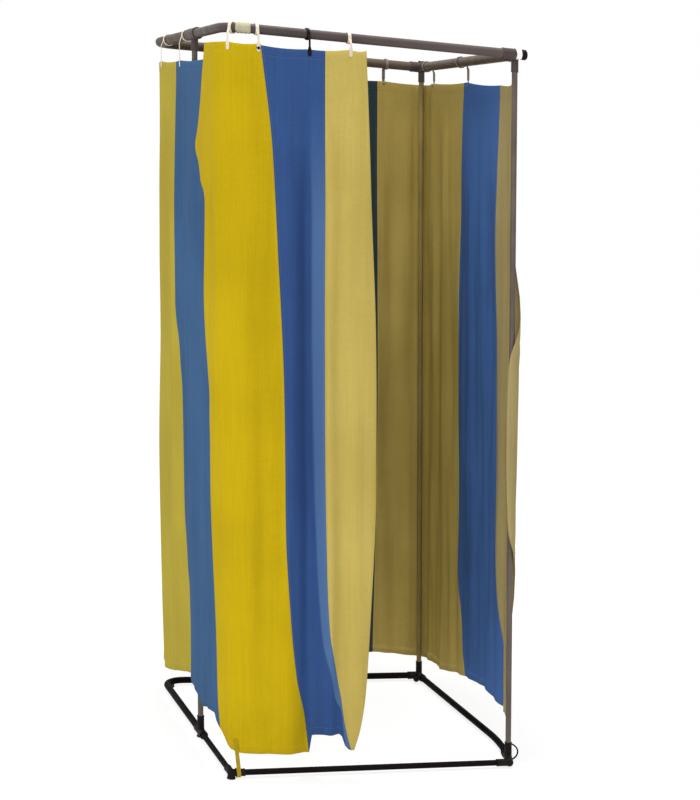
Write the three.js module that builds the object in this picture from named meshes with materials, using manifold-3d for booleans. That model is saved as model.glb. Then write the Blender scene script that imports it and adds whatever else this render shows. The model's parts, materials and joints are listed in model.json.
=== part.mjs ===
// Portable fitting room: a knock-down tube frame with a striped curtain hung round it.
// Millimetres, +Z up, the entry side faces -Y. The origin is on the floor, under the middle of the frame.
import * as THREE from "three";
import { mergeVertices } from "three/addons/utils/BufferGeometryUtils.js";
import Module from "manifold-3d";

const wasm = await Module();
wasm.setup();

// Frame plan and heights
const SIDE = 850; // between tube centre lines
const RING_RISE = 1970; // from the base ring's centre line to the top ring's
const BASE_CLEARANCE = 2; // the base tubes' undersides above the tops of the glides

// Tubes
const BASE_TUBE = 10; // radii
const BASE_ROD = 8;
const POST = 8;
const TOP_TUBE = 14;
const TOP_FRONT_TUBE = 12.5;
const TUBE_WALL = 1.5;
const BASE_REAR_BEND = 60;
const BASE_FRONT_BEND = 750; // the right rail swings in to the front right corner
const BASE_FRONT_TURN = Math.PI / 9;
const TOP_REAR_BEND = 60;
const TOP_FRONT_BEND = 75;

// Fits
const FIT = 0.3; // clearance wherever two pieces touch
const SEAM_GAP = 0.4; // between two stripes of cloth
const OVERRUN = 4; // how far a cut runs past what it cuts

// Posts
const LEFT_POST_SETBACK = 350; // behind the front left corner
const FRONT_POST_SETBACK = 35; // behind the front rod
const SOCKET_DEPTH = 35; // post in its base socket

// Base fittings
const SLEEVE_WALL = 1.8;
const SLEEVE_REACH = 38; // from a fitting's middle to the mouth of a sleeve
const SOCKET_WALL = 1.8;
const STOP_WEB = 4; // solid web between two tube ends in a fitting

// Glides
const GLIDE_RADIUS = 12;
const GLIDE_HEIGHT = 4;
const SADDLE_DIP = 5; // the saddle glide's rim below the tube's centre line

// Clamp screw at the rear right corner
const CLAMP_SETBACK = 26; // from the post to the screw
const CLAMP_BOSS_RADIUS = 6.5;
const CLAMP_BOSS_REACH = 9; // past the sleeve
const SCREW_RADIUS = 3;
const SCREW_LENGTH = 26;
const KNOB_RADIUS = 9;
const KNOB_LENGTH = 16;

// Top fittings
const COLLAR_LENGTH = 16;
const COLLAR_RADIUS = 13.5;
const CAP_LENGTH = 16;
const CAP_RADIUS = 14;
const FRONT_RAIL_SHORT = 48; // the front rail stops this far short of the corner
const TOP_BOSS_DROP = 46; // a post socket below the ring's centre line
const CAP_EDGE = 4; // rounding of the cap's end
const LID_RADIUS = 12;
const LID_HEIGHT = 6;
const LID_SEAT = 2; // how far the rear right boss stands over its sleeves

// Hooks
const HOOK_PLAY = 0.8; // between a hook's ring and the rail
const HOOK_WIDTH = 9;
const HOOK_SETBACK = 84; // of the left side's front hook behind the left post
const TAB_THICKNESS = 2;
const TAB_OVERLAP = 18; // of the tab over the curtain's top hem
const TAB_GAP = 0.7; // between a tab and the cloth, which bends away from it at the corner
const STUD_RADIUS = 6;
const STUD_HEIGHT = 4;
const BAND_WALL = 1.8;
const BAND_LENGTH = 34;
const BAND_PLACE = 31; // along the front left bend, from its middle to the band's

// Curtain
const CLOTH = 2; // thickness of the hanging cloth with its stitched hems
const CLOTH_REACH = 21; // from the rails' centre line out to the cloth
const POST_TURN = 14; // bend of the cloth round a corner post
const FOLD_DEPTH = 26;
const TOP_HEM_DROP = 40; // from the rail's centre line down to the curtain's top edge, at the front
const CORNER_CUT = 34; // how far the cloth cuts the rear left corner under its hooks
const REAR_RIGHT_EASE = 8; // extra reach round the rear right post

// Ties at the base
const STRAP_WIDTH = 11;
const STRAP_THICKNESS = 1.6;
const STRAP_REACH = 19; // strap's middle from the corner along the front arm
const STRAP_RISE = 92;
const STRAP_LEAN = 7; // of its top toward the left side
const STRAP_HUG = 4.5; // its top's outer face outside the arm's centre line
const LOOP_RADIUS = 24;
const LOOP_CORD = 1.5;
const LOOP_SHIFT = 7; // the loop hangs this far outside the base tube
const LOOP_SETBACK = 8; // behind the front right fitting's sleeve

// Facets
const TUBE_SIDES = 16;
const BEND_STEPS = 8;
const RING_SIDES = 16;
const CORD_SIDES = 6;
const MERGE = 1e-4; // points closer than this are one

// Derived places
const HALF = SIDE / 2;
const LEFT_POST_Y = -HALF + LEFT_POST_SETBACK;
const FRONT_BEND_START = BASE_FRONT_BEND * Math.sin(BASE_FRONT_TURN) - HALF;
const FRONT_POST = frontBendAt(FRONT_POST_SETBACK);
const FRONT_RAIL_END = HALF - FRONT_RAIL_SHORT;
const FLOOR_CUT = GLIDE_HEIGHT + FIT;
const LOW = GLIDE_HEIGHT + BASE_CLEARANCE + BASE_TUBE; // centre line of the base ring
const HIGH = LOW + RING_RISE;
const CURTAIN_TOP = HIGH - TOP_HEM_DROP;
const SLEEVE = BASE_TUBE + FIT + SLEEVE_WALL;
const TOP_SLEEVE = TOP_TUBE + FIT + SLEEVE_WALL;
const SOCKET = POST + FIT + SOCKET_WALL;
const SEAT = LOW + BASE_TUBE + SLEEVE_WALL; // floor of the base sockets
const SOCKET_RIM = SEAT + SOCKET_DEPTH;
const TOP_SEAT = HIGH - TOP_TUBE - SLEEVE_WALL; // roof of the top sockets
const TOP_RIM = HIGH - TOP_BOSS_DROP;
const Y = new THREE.Vector3(0, 1, 0);
const Z = new THREE.Vector3(0, 0, 1);

// The place on the right rail's front bend this far behind the front rod.
function frontBendAt(setback) {
  const along = FRONT_BEND_START + HALF - setback;
  const shift = BASE_FRONT_BEND - Math.sqrt(BASE_FRONT_BEND ** 2 - along ** 2);
  return new THREE.Vector2(HALF - shift, setback - HALF);
}

// Materials

function material(color, roughness, metalness) {
  return new THREE.MeshStandardMaterial({ color, roughness, metalness });
}

const darkEnamel = () => material(0x1a1515, 0.45, 0.3);
const bronzeEnamel = () => material(0x645a58, 0.4, 0.5);
const postEnamel = () => material(0x5b5348, 0.45, 0.4);
const darkPlastic = () => material(0x1c1919, 0.5, 0);
const whitePlastic = () => material(0xf2f0ea, 0.45, 0);
const palePlastic = () => material(0xd9cdbb, 0.5, 0);
const rubber = () => material(0x161514, 0.85, 0);
const sandCloth = () => material(0xc0ad5c, 0.9, 0);
const khakiCloth = () => material(0xa89652, 0.9, 0);
const blueCloth = () => material(0x3c5a91, 0.9, 0);
const yellowCloth = () => material(0xc2a80a, 0.9, 0);

// Solids

function solid(geometry) {
  const bare = geometry.clone();
  bare.deleteAttribute("normal");
  bare.deleteAttribute("uv");
  const merged = mergeVertices(bare.index ? bare.toNonIndexed() : bare, MERGE);
  const vertProperties = new Float32Array(merged.attributes.position.array);
  const triVerts = new Uint32Array(merged.index.array);
  return new wasm.Manifold(new wasm.Mesh({ numProp: 3, vertProperties, triVerts }));
}

function joined(...parts) {
  return parts.reduce((whole, part) => whole.add(part));
}

function cut(body, ...tools) {
  return tools.reduce((rest, tool) => rest.subtract(tool), body);
}

function geometryOf(body) {
  const { numProp, vertProperties, triVerts } = body.getMesh();
  const geometry = new THREE.BufferGeometry();
  const positions = new Float32Array((vertProperties.length / numProp) * 3);
  for (let i = 0; i < positions.length / 3; i++) {
    positions.set(vertProperties.subarray(i * numProp, i * numProp + 3), i * 3);
  }
  geometry.setAttribute("position", new THREE.BufferAttribute(positions, 3));
  geometry.setIndex(new THREE.BufferAttribute(new Uint32Array(triVerts), 1));
  geometry.computeVertexNormals();
  return geometry;
}

function mesh(name, geometry, finish) {
  const made = new THREE.Mesh(geometry, finish);
  made.name = name;
  return made;
}

function bodyMesh(name, body, finish) {
  return mesh(name, geometryOf(body), finish);
}

// A round bar from one point to another.
function bar(radius, from, to, sides = TUBE_SIDES) {
  const along = to.clone().sub(from);
  const geometry = new THREE.CylinderGeometry(radius, radius, along.length(), sides);
  const turn = new THREE.Quaternion().setFromUnitVectors(Y, along.clone().normalize());
  geometry.applyQuaternion(turn);
  const middle = from.clone().add(to).divideScalar(2);
  return geometry.translate(middle.x, middle.y, middle.z);
}

function block(width, depth, height, x, y, z) {
  return new THREE.BoxGeometry(width, depth, height).translate(x, y, z);
}

function ball(radius, middle) {
  const geometry = new THREE.SphereGeometry(radius, TUBE_SIDES, TUBE_SIDES / 2);
  return geometry.translate(middle.x, middle.y, middle.z);
}

// The route of a tube that runs from start to corner to end and turns the corner in a bend.
function cornerRoute(start, corner, end, bend) {
  const towardStart = start.clone().sub(corner).normalize();
  const towardEnd = end.clone().sub(corner).normalize();
  const centre = corner.clone().addScaledVector(towardStart, bend).addScaledVector(towardEnd, bend);
  const points = [start];
  for (let i = 0; i <= BEND_STEPS; i++) {
    const angle = (i / BEND_STEPS) * (Math.PI / 2);
    const point = centre.clone();
    point.addScaledVector(towardEnd, -Math.cos(angle) * bend);
    point.addScaledVector(towardStart, -Math.sin(angle) * bend);
    points.push(point);
  }
  points.push(end);
  return points;
}

// The rings of a round wall along straight runs between points, mitred where they meet.
function wallRings(points, radius, sides = TUBE_SIDES) {
  return points.map((point, i) => {
    const before = points[Math.max(i - 1, 0)];
    const after = points[Math.min(i + 1, points.length - 1)];
    const into = point.clone().sub(before).normalize();
    const out = after.clone().sub(point).normalize();
    const heading = into.clone().add(out).normalize();
    const across = new THREE.Vector3().crossVectors(heading, Z).normalize();
    const stretch = 1 / Math.sqrt((1 + (i > 0 && i < points.length - 1 ? into.dot(out) : 1)) / 2);
    return Array.from({ length: sides }, (_, k) => {
      const angle = (k / sides) * Math.PI * 2;
      const place = point.clone().addScaledVector(across, Math.cos(angle) * radius * stretch);
      return place.addScaledVector(Z, Math.sin(angle) * radius);
    });
  });
}

// A solid round rod along a route.
function rodAlong(points, radius) {
  const rings = wallRings(points, radius);
  const faces = skin(rings, false);
  const sides = rings[0].length;
  const last = (rings.length - 1) * sides;
  for (let k = 1; k + 1 < sides; k++) {
    faces.push(0, k, k + 1);
    faces.push(last, last + k + 1, last + k);
  }
  return indexed(rings.flat(), faces);
}

// An open-ended tube along a route: out along the wall and back along the bore.
function tubeAlong(points, radius) {
  const bore = wallRings(points, radius - TUBE_WALL).reverse();
  const rings = [...wallRings(points, radius), ...bore];
  return indexed(rings.flat(), skin(rings, true));
}

// Faces between each ring and the next, and from the last to the first where the row is looped.
function skin(rings, looped) {
  const sides = rings[0].length;
  const faces = [];
  for (let i = 0; i + (looped ? 0 : 1) < rings.length; i++) {
    const row = i * sides;
    const next = ((i + 1) % rings.length) * sides;
    for (let k = 0; k < sides; k++) {
      const step = (k + 1) % sides;
      faces.push(row + k, next + k, row + step, row + step, next + k, next + step);
    }
  }
  return faces;
}

function indexed(points, faces) {
  const positions = points.flatMap((p) => [p.x, p.y, p.z]);
  const geometry = new THREE.BufferGeometry();
  geometry.setAttribute("position", new THREE.Float32BufferAttribute(positions, 3));
  geometry.setIndex(faces);
  geometry.computeVertexNormals();
  return geometry;
}

function at(x, y, z) {
  return new THREE.Vector3(x, y, z);
}

// Routes of the base ring

const TEE_END = LEFT_POST_Y + STOP_WEB / 2;
const CORNER_END = HALF - STOP_WEB / 2 - BASE_TUBE;
const baseRearRoute = cornerRoute(
  at(-HALF, TEE_END, LOW),
  at(-HALF, HALF, LOW),
  at(CORNER_END, HALF, LOW),
  BASE_REAR_BEND,
);

// The right rail's front bend between two distances behind the front rod.
function frontBend(from, to) {
  return Array.from({ length: BEND_STEPS + 1 }, (_, i) => {
    const { x, y } = frontBendAt(from + ((to - from) * i) / BEND_STEPS);
    return at(x, y, LOW);
  });
}

const RAIL_STOP = BASE_ROD + STOP_WEB / 2; // the right rail's end behind the front rod's centre line
const baseRightRoute = [at(HALF, CORNER_END, LOW), ...frontBend(FRONT_BEND_START + HALF, RAIL_STOP)];
const FRONT_CORNER = frontBendAt(0);
const ELBOW_END = -HALF + BASE_ROD + STOP_WEB / 2;
const leftRodRoute = [at(-HALF, TEE_END - STOP_WEB, LOW), at(-HALF, ELBOW_END, LOW)];
const frontRodRoute = [
  at(ELBOW_END, -HALF, LOW),
  at(FRONT_CORNER.x - BASE_TUBE - STOP_WEB / 2, -HALF, LOW),
];

// Routes of the top ring

const topRearRoute = cornerRoute(
  at(-HALF, LEFT_POST_Y + STOP_WEB / 2, HIGH),
  at(-HALF, HALF, HIGH),
  at(HALF - TOP_TUBE - STOP_WEB / 2, HALF, HIGH),
  TOP_REAR_BEND,
);
const topFrontRoute = cornerRoute(
  at(-HALF, LEFT_POST_Y - STOP_WEB / 2, HIGH),
  at(-HALF, -HALF, HIGH),
  at(FRONT_RAIL_END, -HALF, HIGH),
  TOP_FRONT_BEND,
);
const rearRightTop = at(HALF, HALF, HIGH);
const frontRightTop = at(FRONT_POST.x, FRONT_POST.y, HIGH);
const rightHeading = frontRightTop.clone().sub(rearRightTop).normalize();
const topRightRoute = [
  rearRightTop.clone().addScaledVector(rightHeading, TOP_TUBE + STOP_WEB / 2),
  frontRightTop.clone().addScaledVector(rightHeading, -TOP_TUBE),
];

// Base ring

function baseTubes() {
  return [
    mesh("base_rail_rear", tubeAlong(baseRearRoute, BASE_TUBE), darkEnamel()),
    mesh("base_rail_right", tubeAlong(baseRightRoute, BASE_TUBE), darkEnamel()),
    mesh("base_rod_left", tubeAlong(leftRodRoute, BASE_ROD), darkEnamel()),
    mesh("base_rod_front", tubeAlong(frontRodRoute, BASE_ROD), darkEnamel()),
  ];
}

// What a fitting of the base ring is cut with: the floor plane, and each tube of the ring with its fit.
function floorCut(x, y) {
  const reach = SLEEVE_REACH * 4;
  return solid(block(reach, reach, reach, x, y, FLOOR_CUT - reach / 2));
}

function tubeCut(route, radius) {
  return solid(rodAlong(route, radius + FIT));
}

// The rods and tubes, with the small air gap that each leaves before a fitting's web.
function baseCuts() {
  return [
    tubeCut(lengthened(baseRearRoute), BASE_TUBE),
    tubeCut(lengthened(baseRightRoute), BASE_TUBE),
    tubeCut(lengthened(leftRodRoute), BASE_ROD),
    tubeCut(lengthened(frontRodRoute), BASE_ROD),
  ];
}

function lengthened(route) {
  const [first, second] = route;
  const last = route[route.length - 1];
  const beforeLast = route[route.length - 2];
  const head = first.clone().add(first.clone().sub(second).setLength(FIT));
  const tail = last.clone().add(last.clone().sub(beforeLast).setLength(FIT));
  return [head, ...route.slice(1, -1), tail];
}

function baseSocket(x, y) {
  return solid(bar(SOCKET, at(x, y, FLOOR_CUT), at(x, y, SOCKET_RIM)));
}

function baseBore(x, y) {
  return solid(bar(POST + FIT, at(x, y, SEAT), at(x, y, SOCKET_RIM + OVERRUN)));
}

function teeLeft(cuts) {
  const y = LEFT_POST_Y;
  const sleeve = bar(SLEEVE, at(-HALF, y - SLEEVE_REACH, LOW), at(-HALF, y + SLEEVE_REACH, LOW));
  const body = joined(solid(sleeve), baseSocket(-HALF, y));
  return cut(body, ...cuts, baseBore(-HALF, y), floorCut(-HALF, y));
}

function elbowFrontLeft(cuts) {
  const corner = at(-HALF, -HALF, LOW);
  const radius = BASE_ROD + FIT + SLEEVE_WALL;
  const body = joined(
    solid(bar(radius, corner, at(-HALF, -HALF + SLEEVE_REACH, LOW))),
    solid(bar(radius, corner, at(-HALF + SLEEVE_REACH, -HALF, LOW))),
    solid(ball(radius, corner)),
    solid(bar(radius, at(-HALF, -HALF, FLOOR_CUT), corner)),
  );
  return cut(body, ...cuts, floorCut(-HALF, -HALF));
}

const FRONT_SLEEVE = FRONT_POST_SETBACK + SLEEVE_REACH / 2; // its sleeve's mouth behind the front rod
const CLAMP_X = HALF - CLAMP_SETBACK;
const CLAMP_BOSS_END = HALF - SLEEVE - CLAMP_BOSS_REACH;

function cornerRearRight(cuts) {
  const corner = at(HALF, HALF, LOW);
  const clampRoot = at(CLAMP_X, HALF, LOW);
  const body = joined(
    solid(bar(SLEEVE, corner, at(HALF - SLEEVE_REACH, HALF, LOW))),
    solid(bar(SLEEVE, corner, at(HALF, HALF - SLEEVE_REACH, LOW))),
    solid(ball(SLEEVE, corner)),
    baseSocket(HALF, HALF),
    solid(bar(CLAMP_BOSS_RADIUS, clampRoot, at(CLAMP_X, CLAMP_BOSS_END, LOW))),
  );
  const holeEnd = at(CLAMP_X, CLAMP_BOSS_END - OVERRUN, LOW);
  const hole = solid(bar(SCREW_RADIUS + FIT, clampRoot, holeEnd));
  return cut(body, ...cuts, hole, baseBore(HALF, HALF), floorCut(HALF, HALF));
}

// The corner where the front rod meets the right rail, with the front right post's socket behind it.
function cornerFrontRight(cuts) {
  const { x, y } = FRONT_POST;
  const corner = at(FRONT_CORNER.x, -HALF, LOW);
  const radius = BASE_ROD + FIT + SLEEVE_WALL;
  const body = joined(
    solid(rodAlong(frontBend(FRONT_SLEEVE, 0), SLEEVE)),
    solid(ball(SLEEVE, corner)),
    solid(bar(radius, corner, at(FRONT_CORNER.x - SLEEVE_REACH, -HALF, LOW))),
    baseSocket(x, y),
  );
  return cut(body, ...cuts, baseBore(x, y), floorCut(x, y));
}

function baseFittings() {
  const cuts = baseCuts();
  return [
    bodyMesh("base_tee_left", teeLeft(cuts), darkPlastic()),
    bodyMesh("base_elbow_front_left", elbowFrontLeft(cuts), darkPlastic()),
    bodyMesh("base_corner_rear_right", cornerRearRight(cuts), darkPlastic()),
    bodyMesh("base_corner_front_right", cornerFrontRight(cuts), darkPlastic()),
  ];
}

function glide(name, x, y) {
  return mesh(name, bar(GLIDE_RADIUS, at(x, y, 0), at(x, y, GLIDE_HEIGHT)), rubber());
}

// The rear left glide is a saddle that holds the bend itself.
function saddleGlide() {
  const inset = BASE_REAR_BEND * (1 - Math.SQRT1_2);
  const x = -HALF + inset;
  const y = HALF - inset;
  const foot = solid(bar(GLIDE_RADIUS, at(x, y, 0), at(x, y, LOW - SADDLE_DIP)));
  return bodyMesh("glide_rear_left", cut(foot, tubeCut(baseRearRoute, BASE_TUBE)), rubber());
}

function glides() {
  return [
    saddleGlide(),
    glide("glide_left", -HALF, LEFT_POST_Y),
    glide("glide_front_left", -HALF, -HALF),
    glide("glide_front_right", FRONT_POST.x, FRONT_POST.y),
    glide("glide_rear_right", HALF, HALF),
  ];
}

// Clamp at the rear right corner

function clamp() {
  const tip = HALF - BASE_TUBE - FIT;
  const knobFace = tip - SCREW_LENGTH;
  const screw = bar(SCREW_RADIUS, at(CLAMP_X, tip, LOW), at(CLAMP_X, knobFace + FIT, LOW));
  const waist = SCREW_RADIUS + CLAMP_BOSS_RADIUS;
  const outline = [
    new THREE.Vector2(0, 0),
    new THREE.Vector2(waist / 2, 0),
    new THREE.Vector2(KNOB_RADIUS, KNOB_LENGTH / 3),
    new THREE.Vector2(KNOB_RADIUS, (KNOB_LENGTH * 2) / 3),
    new THREE.Vector2(waist / 2, KNOB_LENGTH),
    new THREE.Vector2(0, KNOB_LENGTH),
  ];
  const knob = new THREE.LatheGeometry(outline, TUBE_SIDES);
  const group = new THREE.Group();
  const knobMesh = mesh("clamp_knob", knob, darkPlastic());
  knobMesh.rotation.x = Math.PI;
  knobMesh.position.set(CLAMP_X, knobFace, LOW);
  group.add(mesh("clamp_screw", screw, darkEnamel()), knobMesh);
  return group;
}

// Posts

// A ring-shaped or tubular solid of revolution, standing on its axis.
function pipe(outer, inner, length, sides) {
  const outline = [
    new THREE.Vector2(inner, 0),
    new THREE.Vector2(outer, 0),
    new THREE.Vector2(outer, length),
    new THREE.Vector2(inner, length),
    new THREE.Vector2(inner, 0),
  ];
  return new THREE.LatheGeometry(outline, sides);
}

function post(name, x, y) {
  const length = TOP_SEAT - SEAT - FIT * 2;
  const made = mesh(name, pipe(POST, POST - TUBE_WALL, length, TUBE_SIDES), postEnamel());
  made.rotation.x = Math.PI / 2;
  made.position.set(x, y, SEAT + FIT);
  return made;
}

function posts() {
  return [
    post("post_left", -HALF, LEFT_POST_Y),
    post("post_rear_right", HALF, HALF),
    post("post_front_right", FRONT_POST.x, FRONT_POST.y),
  ];
}

// Top ring

function topTubes() {
  return [
    mesh("top_rail_rear", tubeAlong(topRearRoute, TOP_TUBE), bronzeEnamel()),
    mesh("top_rail_right", tubeAlong(topRightRoute, TOP_TUBE), bronzeEnamel()),
    mesh("top_rail_front", tubeAlong(topFrontRoute, TOP_FRONT_TUBE), bronzeEnamel()),
  ];
}

function topCuts() {
  return [
    tubeCut(lengthened(topRearRoute), TOP_TUBE),
    tubeCut(lengthened(topRightRoute), TOP_TUBE),
    tubeCut(lengthened(topFrontRoute), TOP_FRONT_TUBE),
  ];
}

function topBoss(x, y, top) {
  return solid(bar(SOCKET, at(x, y, TOP_RIM), at(x, y, top)));
}

function topBore(x, y) {
  return solid(bar(POST + FIT, at(x, y, TOP_RIM - OVERRUN), at(x, y, TOP_SEAT)));
}

function topTeeLeft(cuts) {
  const y = LEFT_POST_Y;
  const sleeve = bar(TOP_SLEEVE, at(-HALF, y - SLEEVE_REACH, HIGH), at(-HALF, y + SLEEVE_REACH, HIGH));
  const body = joined(solid(sleeve), topBoss(-HALF, y, HIGH));
  return cut(body, ...cuts, topBore(-HALF, y));
}

const LID_BASE = HIGH + TOP_SLEEVE + LID_SEAT;

function topCornerRearRight(cuts) {
  const alongRight = rearRightTop.clone().addScaledVector(rightHeading, SLEEVE_REACH);
  const body = joined(
    solid(bar(TOP_SLEEVE, rearRightTop, at(HALF - SLEEVE_REACH, HALF, HIGH))),
    solid(bar(TOP_SLEEVE, rearRightTop, alongRight)),
    solid(ball(TOP_SLEEVE, rearRightTop)),
    topBoss(HALF, HALF, LID_BASE),
  );
  return cut(body, ...cuts, topBore(HALF, HALF));
}

// The flat web from the front rail's sleeve back to the post, which goes round behind the rail's cap.
function cornerWeb(x, y) {
  const width = TOP_TUBE * 2;
  const start = FRONT_RAIL_END - width;
  const behindCap = -HALF + CAP_RADIUS + FIT;
  return joined(
    solid(block(width, y + HALF, TOP_TUBE, start + width / 2, (y - HALF) / 2, HIGH)),
    solid(block(x - start, y - behindCap, TOP_TUBE, (x + start) / 2, (y + behindCap) / 2, HIGH)),
  );
}

function topCornerFrontRight(cuts) {
  const { x, y } = FRONT_POST;
  const frontSleeve = TOP_FRONT_TUBE + FIT + SLEEVE_WALL;
  const alongRight = frontRightTop.clone().addScaledVector(rightHeading, -SLEEVE_REACH);
  const sleeveStart = at(FRONT_RAIL_END - SLEEVE_REACH, -HALF, HIGH);
  const body = joined(
    solid(bar(frontSleeve, sleeveStart, at(FRONT_RAIL_END, -HALF, HIGH))),
    solid(bar(TOP_SLEEVE, frontRightTop, alongRight)),
    solid(ball(TOP_SLEEVE, frontRightTop)),
    cornerWeb(x, y),
    topBoss(x, y, HIGH),
  );
  return cut(body, ...cuts, topBore(x, y));
}

function topFittings() {
  const cuts = topCuts();
  return [
    bodyMesh("top_tee_left", topTeeLeft(cuts), bronzeEnamel()),
    bodyMesh("top_corner_rear_right", topCornerRearRight(cuts), bronzeEnamel()),
    bodyMesh("top_corner_front_right", topCornerFrontRight(cuts), bronzeEnamel()),
  ];
}

function lid() {
  const bottom = at(HALF, HALF, LID_BASE + FIT);
  const top = at(HALF, HALF, LID_BASE + FIT + LID_HEIGHT);
  return mesh("top_lid_rear_right", bar(LID_RADIUS, bottom, top), palePlastic());
}

// The collar and the round-edged cap stand on the front rail's right end.
function railEnd() {
  const collarStart = FRONT_RAIL_END + FIT;
  const capStart = collarStart + COLLAR_LENGTH + FIT;
  const collar = bar(
    COLLAR_RADIUS,
    at(collarStart, -HALF, HIGH),
    at(collarStart + COLLAR_LENGTH, -HALF, HIGH),
  );
  const outline = [
    new THREE.Vector2(0, 0),
    new THREE.Vector2(CAP_RADIUS, 0),
    new THREE.Vector2(CAP_RADIUS, CAP_LENGTH - CAP_EDGE),
    new THREE.Vector2(CAP_RADIUS - CAP_EDGE / 3, CAP_LENGTH - CAP_EDGE / 3),
    new THREE.Vector2(CAP_RADIUS - CAP_EDGE, CAP_LENGTH),
    new THREE.Vector2(0, CAP_LENGTH),
  ];
  const cap = mesh("top_end_cap", new THREE.LatheGeometry(outline, TUBE_SIDES), darkPlastic());
  cap.rotation.z = -Math.PI / 2;
  cap.position.set(capStart, -HALF, HIGH);
  return [mesh("top_end_collar", collar, whitePlastic()), cap];
}

// A pale band of tape round the front left bend.
function railBand() {
  const centre = at(TOP_FRONT_BEND - HALF, TOP_FRONT_BEND - HALF, HIGH);
  const middle = Math.PI / 4 + BAND_PLACE / TOP_FRONT_BEND;
  const spread = BAND_LENGTH / TOP_FRONT_BEND;
  const route = Array.from({ length: BEND_STEPS }, (_, i) => {
    const angle = middle + (i / (BEND_STEPS - 1) - 0.5) * spread;
    const x = centre.x - Math.cos(angle) * TOP_FRONT_BEND;
    const y = centre.y - Math.sin(angle) * TOP_FRONT_BEND;
    return at(x, y, HIGH);
  });
  const sleeve = solid(rodAlong(route, TOP_FRONT_TUBE + FIT + BAND_WALL));
  return bodyMesh("rail_band", cut(sleeve, tubeCut(topFrontRoute, TOP_FRONT_TUBE)), khakiCloth());
}

// Route of the curtain: once round the frame, counted in sides.
// 0 to 1 is the front from right to left, 1 to 2 the left side, 2 to 3 the back, 3 to 4 the right side.

const routeCorners = [
  new THREE.Vector2(HALF, -HALF),
  new THREE.Vector2(-HALF, -HALF),
  new THREE.Vector2(-HALF, HALF),
  new THREE.Vector2(HALF, HALF),
  FRONT_POST,
  new THREE.Vector2(-HALF, FRONT_POST.y),
];
const routeBends = [0, TOP_FRONT_BEND, TOP_REAR_BEND, POST_TURN, POST_TURN, 0];

function sideOf(index) {
  const heading = routeCorners[index + 1].clone().sub(routeCorners[index]);
  return { length: heading.length(), heading: heading.normalize() };
}

// The place on the route at a station, rounded at the corners, and its outward direction.
function routeAt(station) {
  const near = Math.round(station);
  const index = Math.min(Math.floor(station), routeCorners.length - 2);
  const side = sideOf(index);
  const place = routeCorners[index].clone().addScaledVector(side.heading, (station - index) * side.length);
  const heading = side.heading.clone();
  if (near > 0 && near < routeCorners.length - 1) {
    const before = sideOf(near - 1);
    const after = sideOf(near);
    const turn = before.heading.angleTo(after.heading);
    const bend = routeBends[near];
    const reach = bend * Math.tan(turn / 2);
    const along = (station - near) * (station < near ? before.length : after.length);
    if (Math.abs(along) < reach) {
      const angle = ((along / reach + 1) / 2) * turn;
      const inward = new THREE.Vector2(before.heading.y, -before.heading.x);
      place.copy(routeCorners[near]).addScaledVector(before.heading, Math.sin(angle) * bend - reach);
      place.addScaledVector(inward, (1 - Math.cos(angle)) * bend);
      heading.copy(before.heading).multiplyScalar(Math.cos(angle)).addScaledVector(inward, Math.sin(angle));
    }
  }
  return { place, heading, outward: new THREE.Vector2(-heading.y, heading.x) };
}

// Curtain. Stations are counted in sides of the route, heights in shares of the drop from hem to top.

// The value of a row of [key, value] pairs at a key, straight between pairs.
function between(table, key) {
  const next = table.findIndex(([k]) => k >= key);
  if (next <= 0) return (next === 0 ? table[0] : table[table.length - 1])[1];
  const [k0, v0] = table[next - 1];
  const [k1, v1] = table[next];
  return v0 + ((v1 - v0) * (key - k0)) / (k1 - k0);
}

function smooth(t) {
  const x = Math.min(Math.max(t, 0), 1);
  return x * x * (3 - 2 * x);
}

// Drop of the top edge below the rail by station, as a share of its drop at the front.
const topDropShares = [
  [0.5, 0.7],
  [0.64, 0.8],
  [0.74, 1],
  [1.04, 1],
  [1.19, 1.88],
  [1.38, 1.85],
  [1.53, 1.75],
  [1.8, 1.58],
  [2.3, 1.44],
  [3.05, 1.25],
  [3.45, 1.42],
  [3.79, 1.85],
  [4.1, 1.9],
];

// The same for the yellow stripe, whose left corner stands over its neighbour.
const yellowTopShares = [
  [0.86, 0.94],
  [1.2, 0.92],
];

// Height of the hem by station, as a share of the top edge's height at the front.
const hemShares = [
  [0.6, 0.04],
  [0.618, 0.039],
  [0.632, 0.044],
  [0.645, 0.062],
  [0.7, 0.062],
  [0.735, 0.058],
  [0.742, 0.033],
  [0.8, 0.036],
  [0.98, 0.037],
  [1.01, 0.041],
  [1.06, 0.064],
  [1.1, 0.08],
  [1.2, 0.074],
  [1.27, 0.066],
  [1.33, 0.08],
  [1.47, 0.089],
  [1.6, 0.076],
  [1.8, 0.052],
  [2.3, 0.05],
  [2.84, 0.046],
  [3, 0.038],
  [3.22, 0.045],
  [3.49, 0.067],
  [3.67, 0.073],
  [3.83, 0.067],
  [3.98, 0.066],
];

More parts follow.
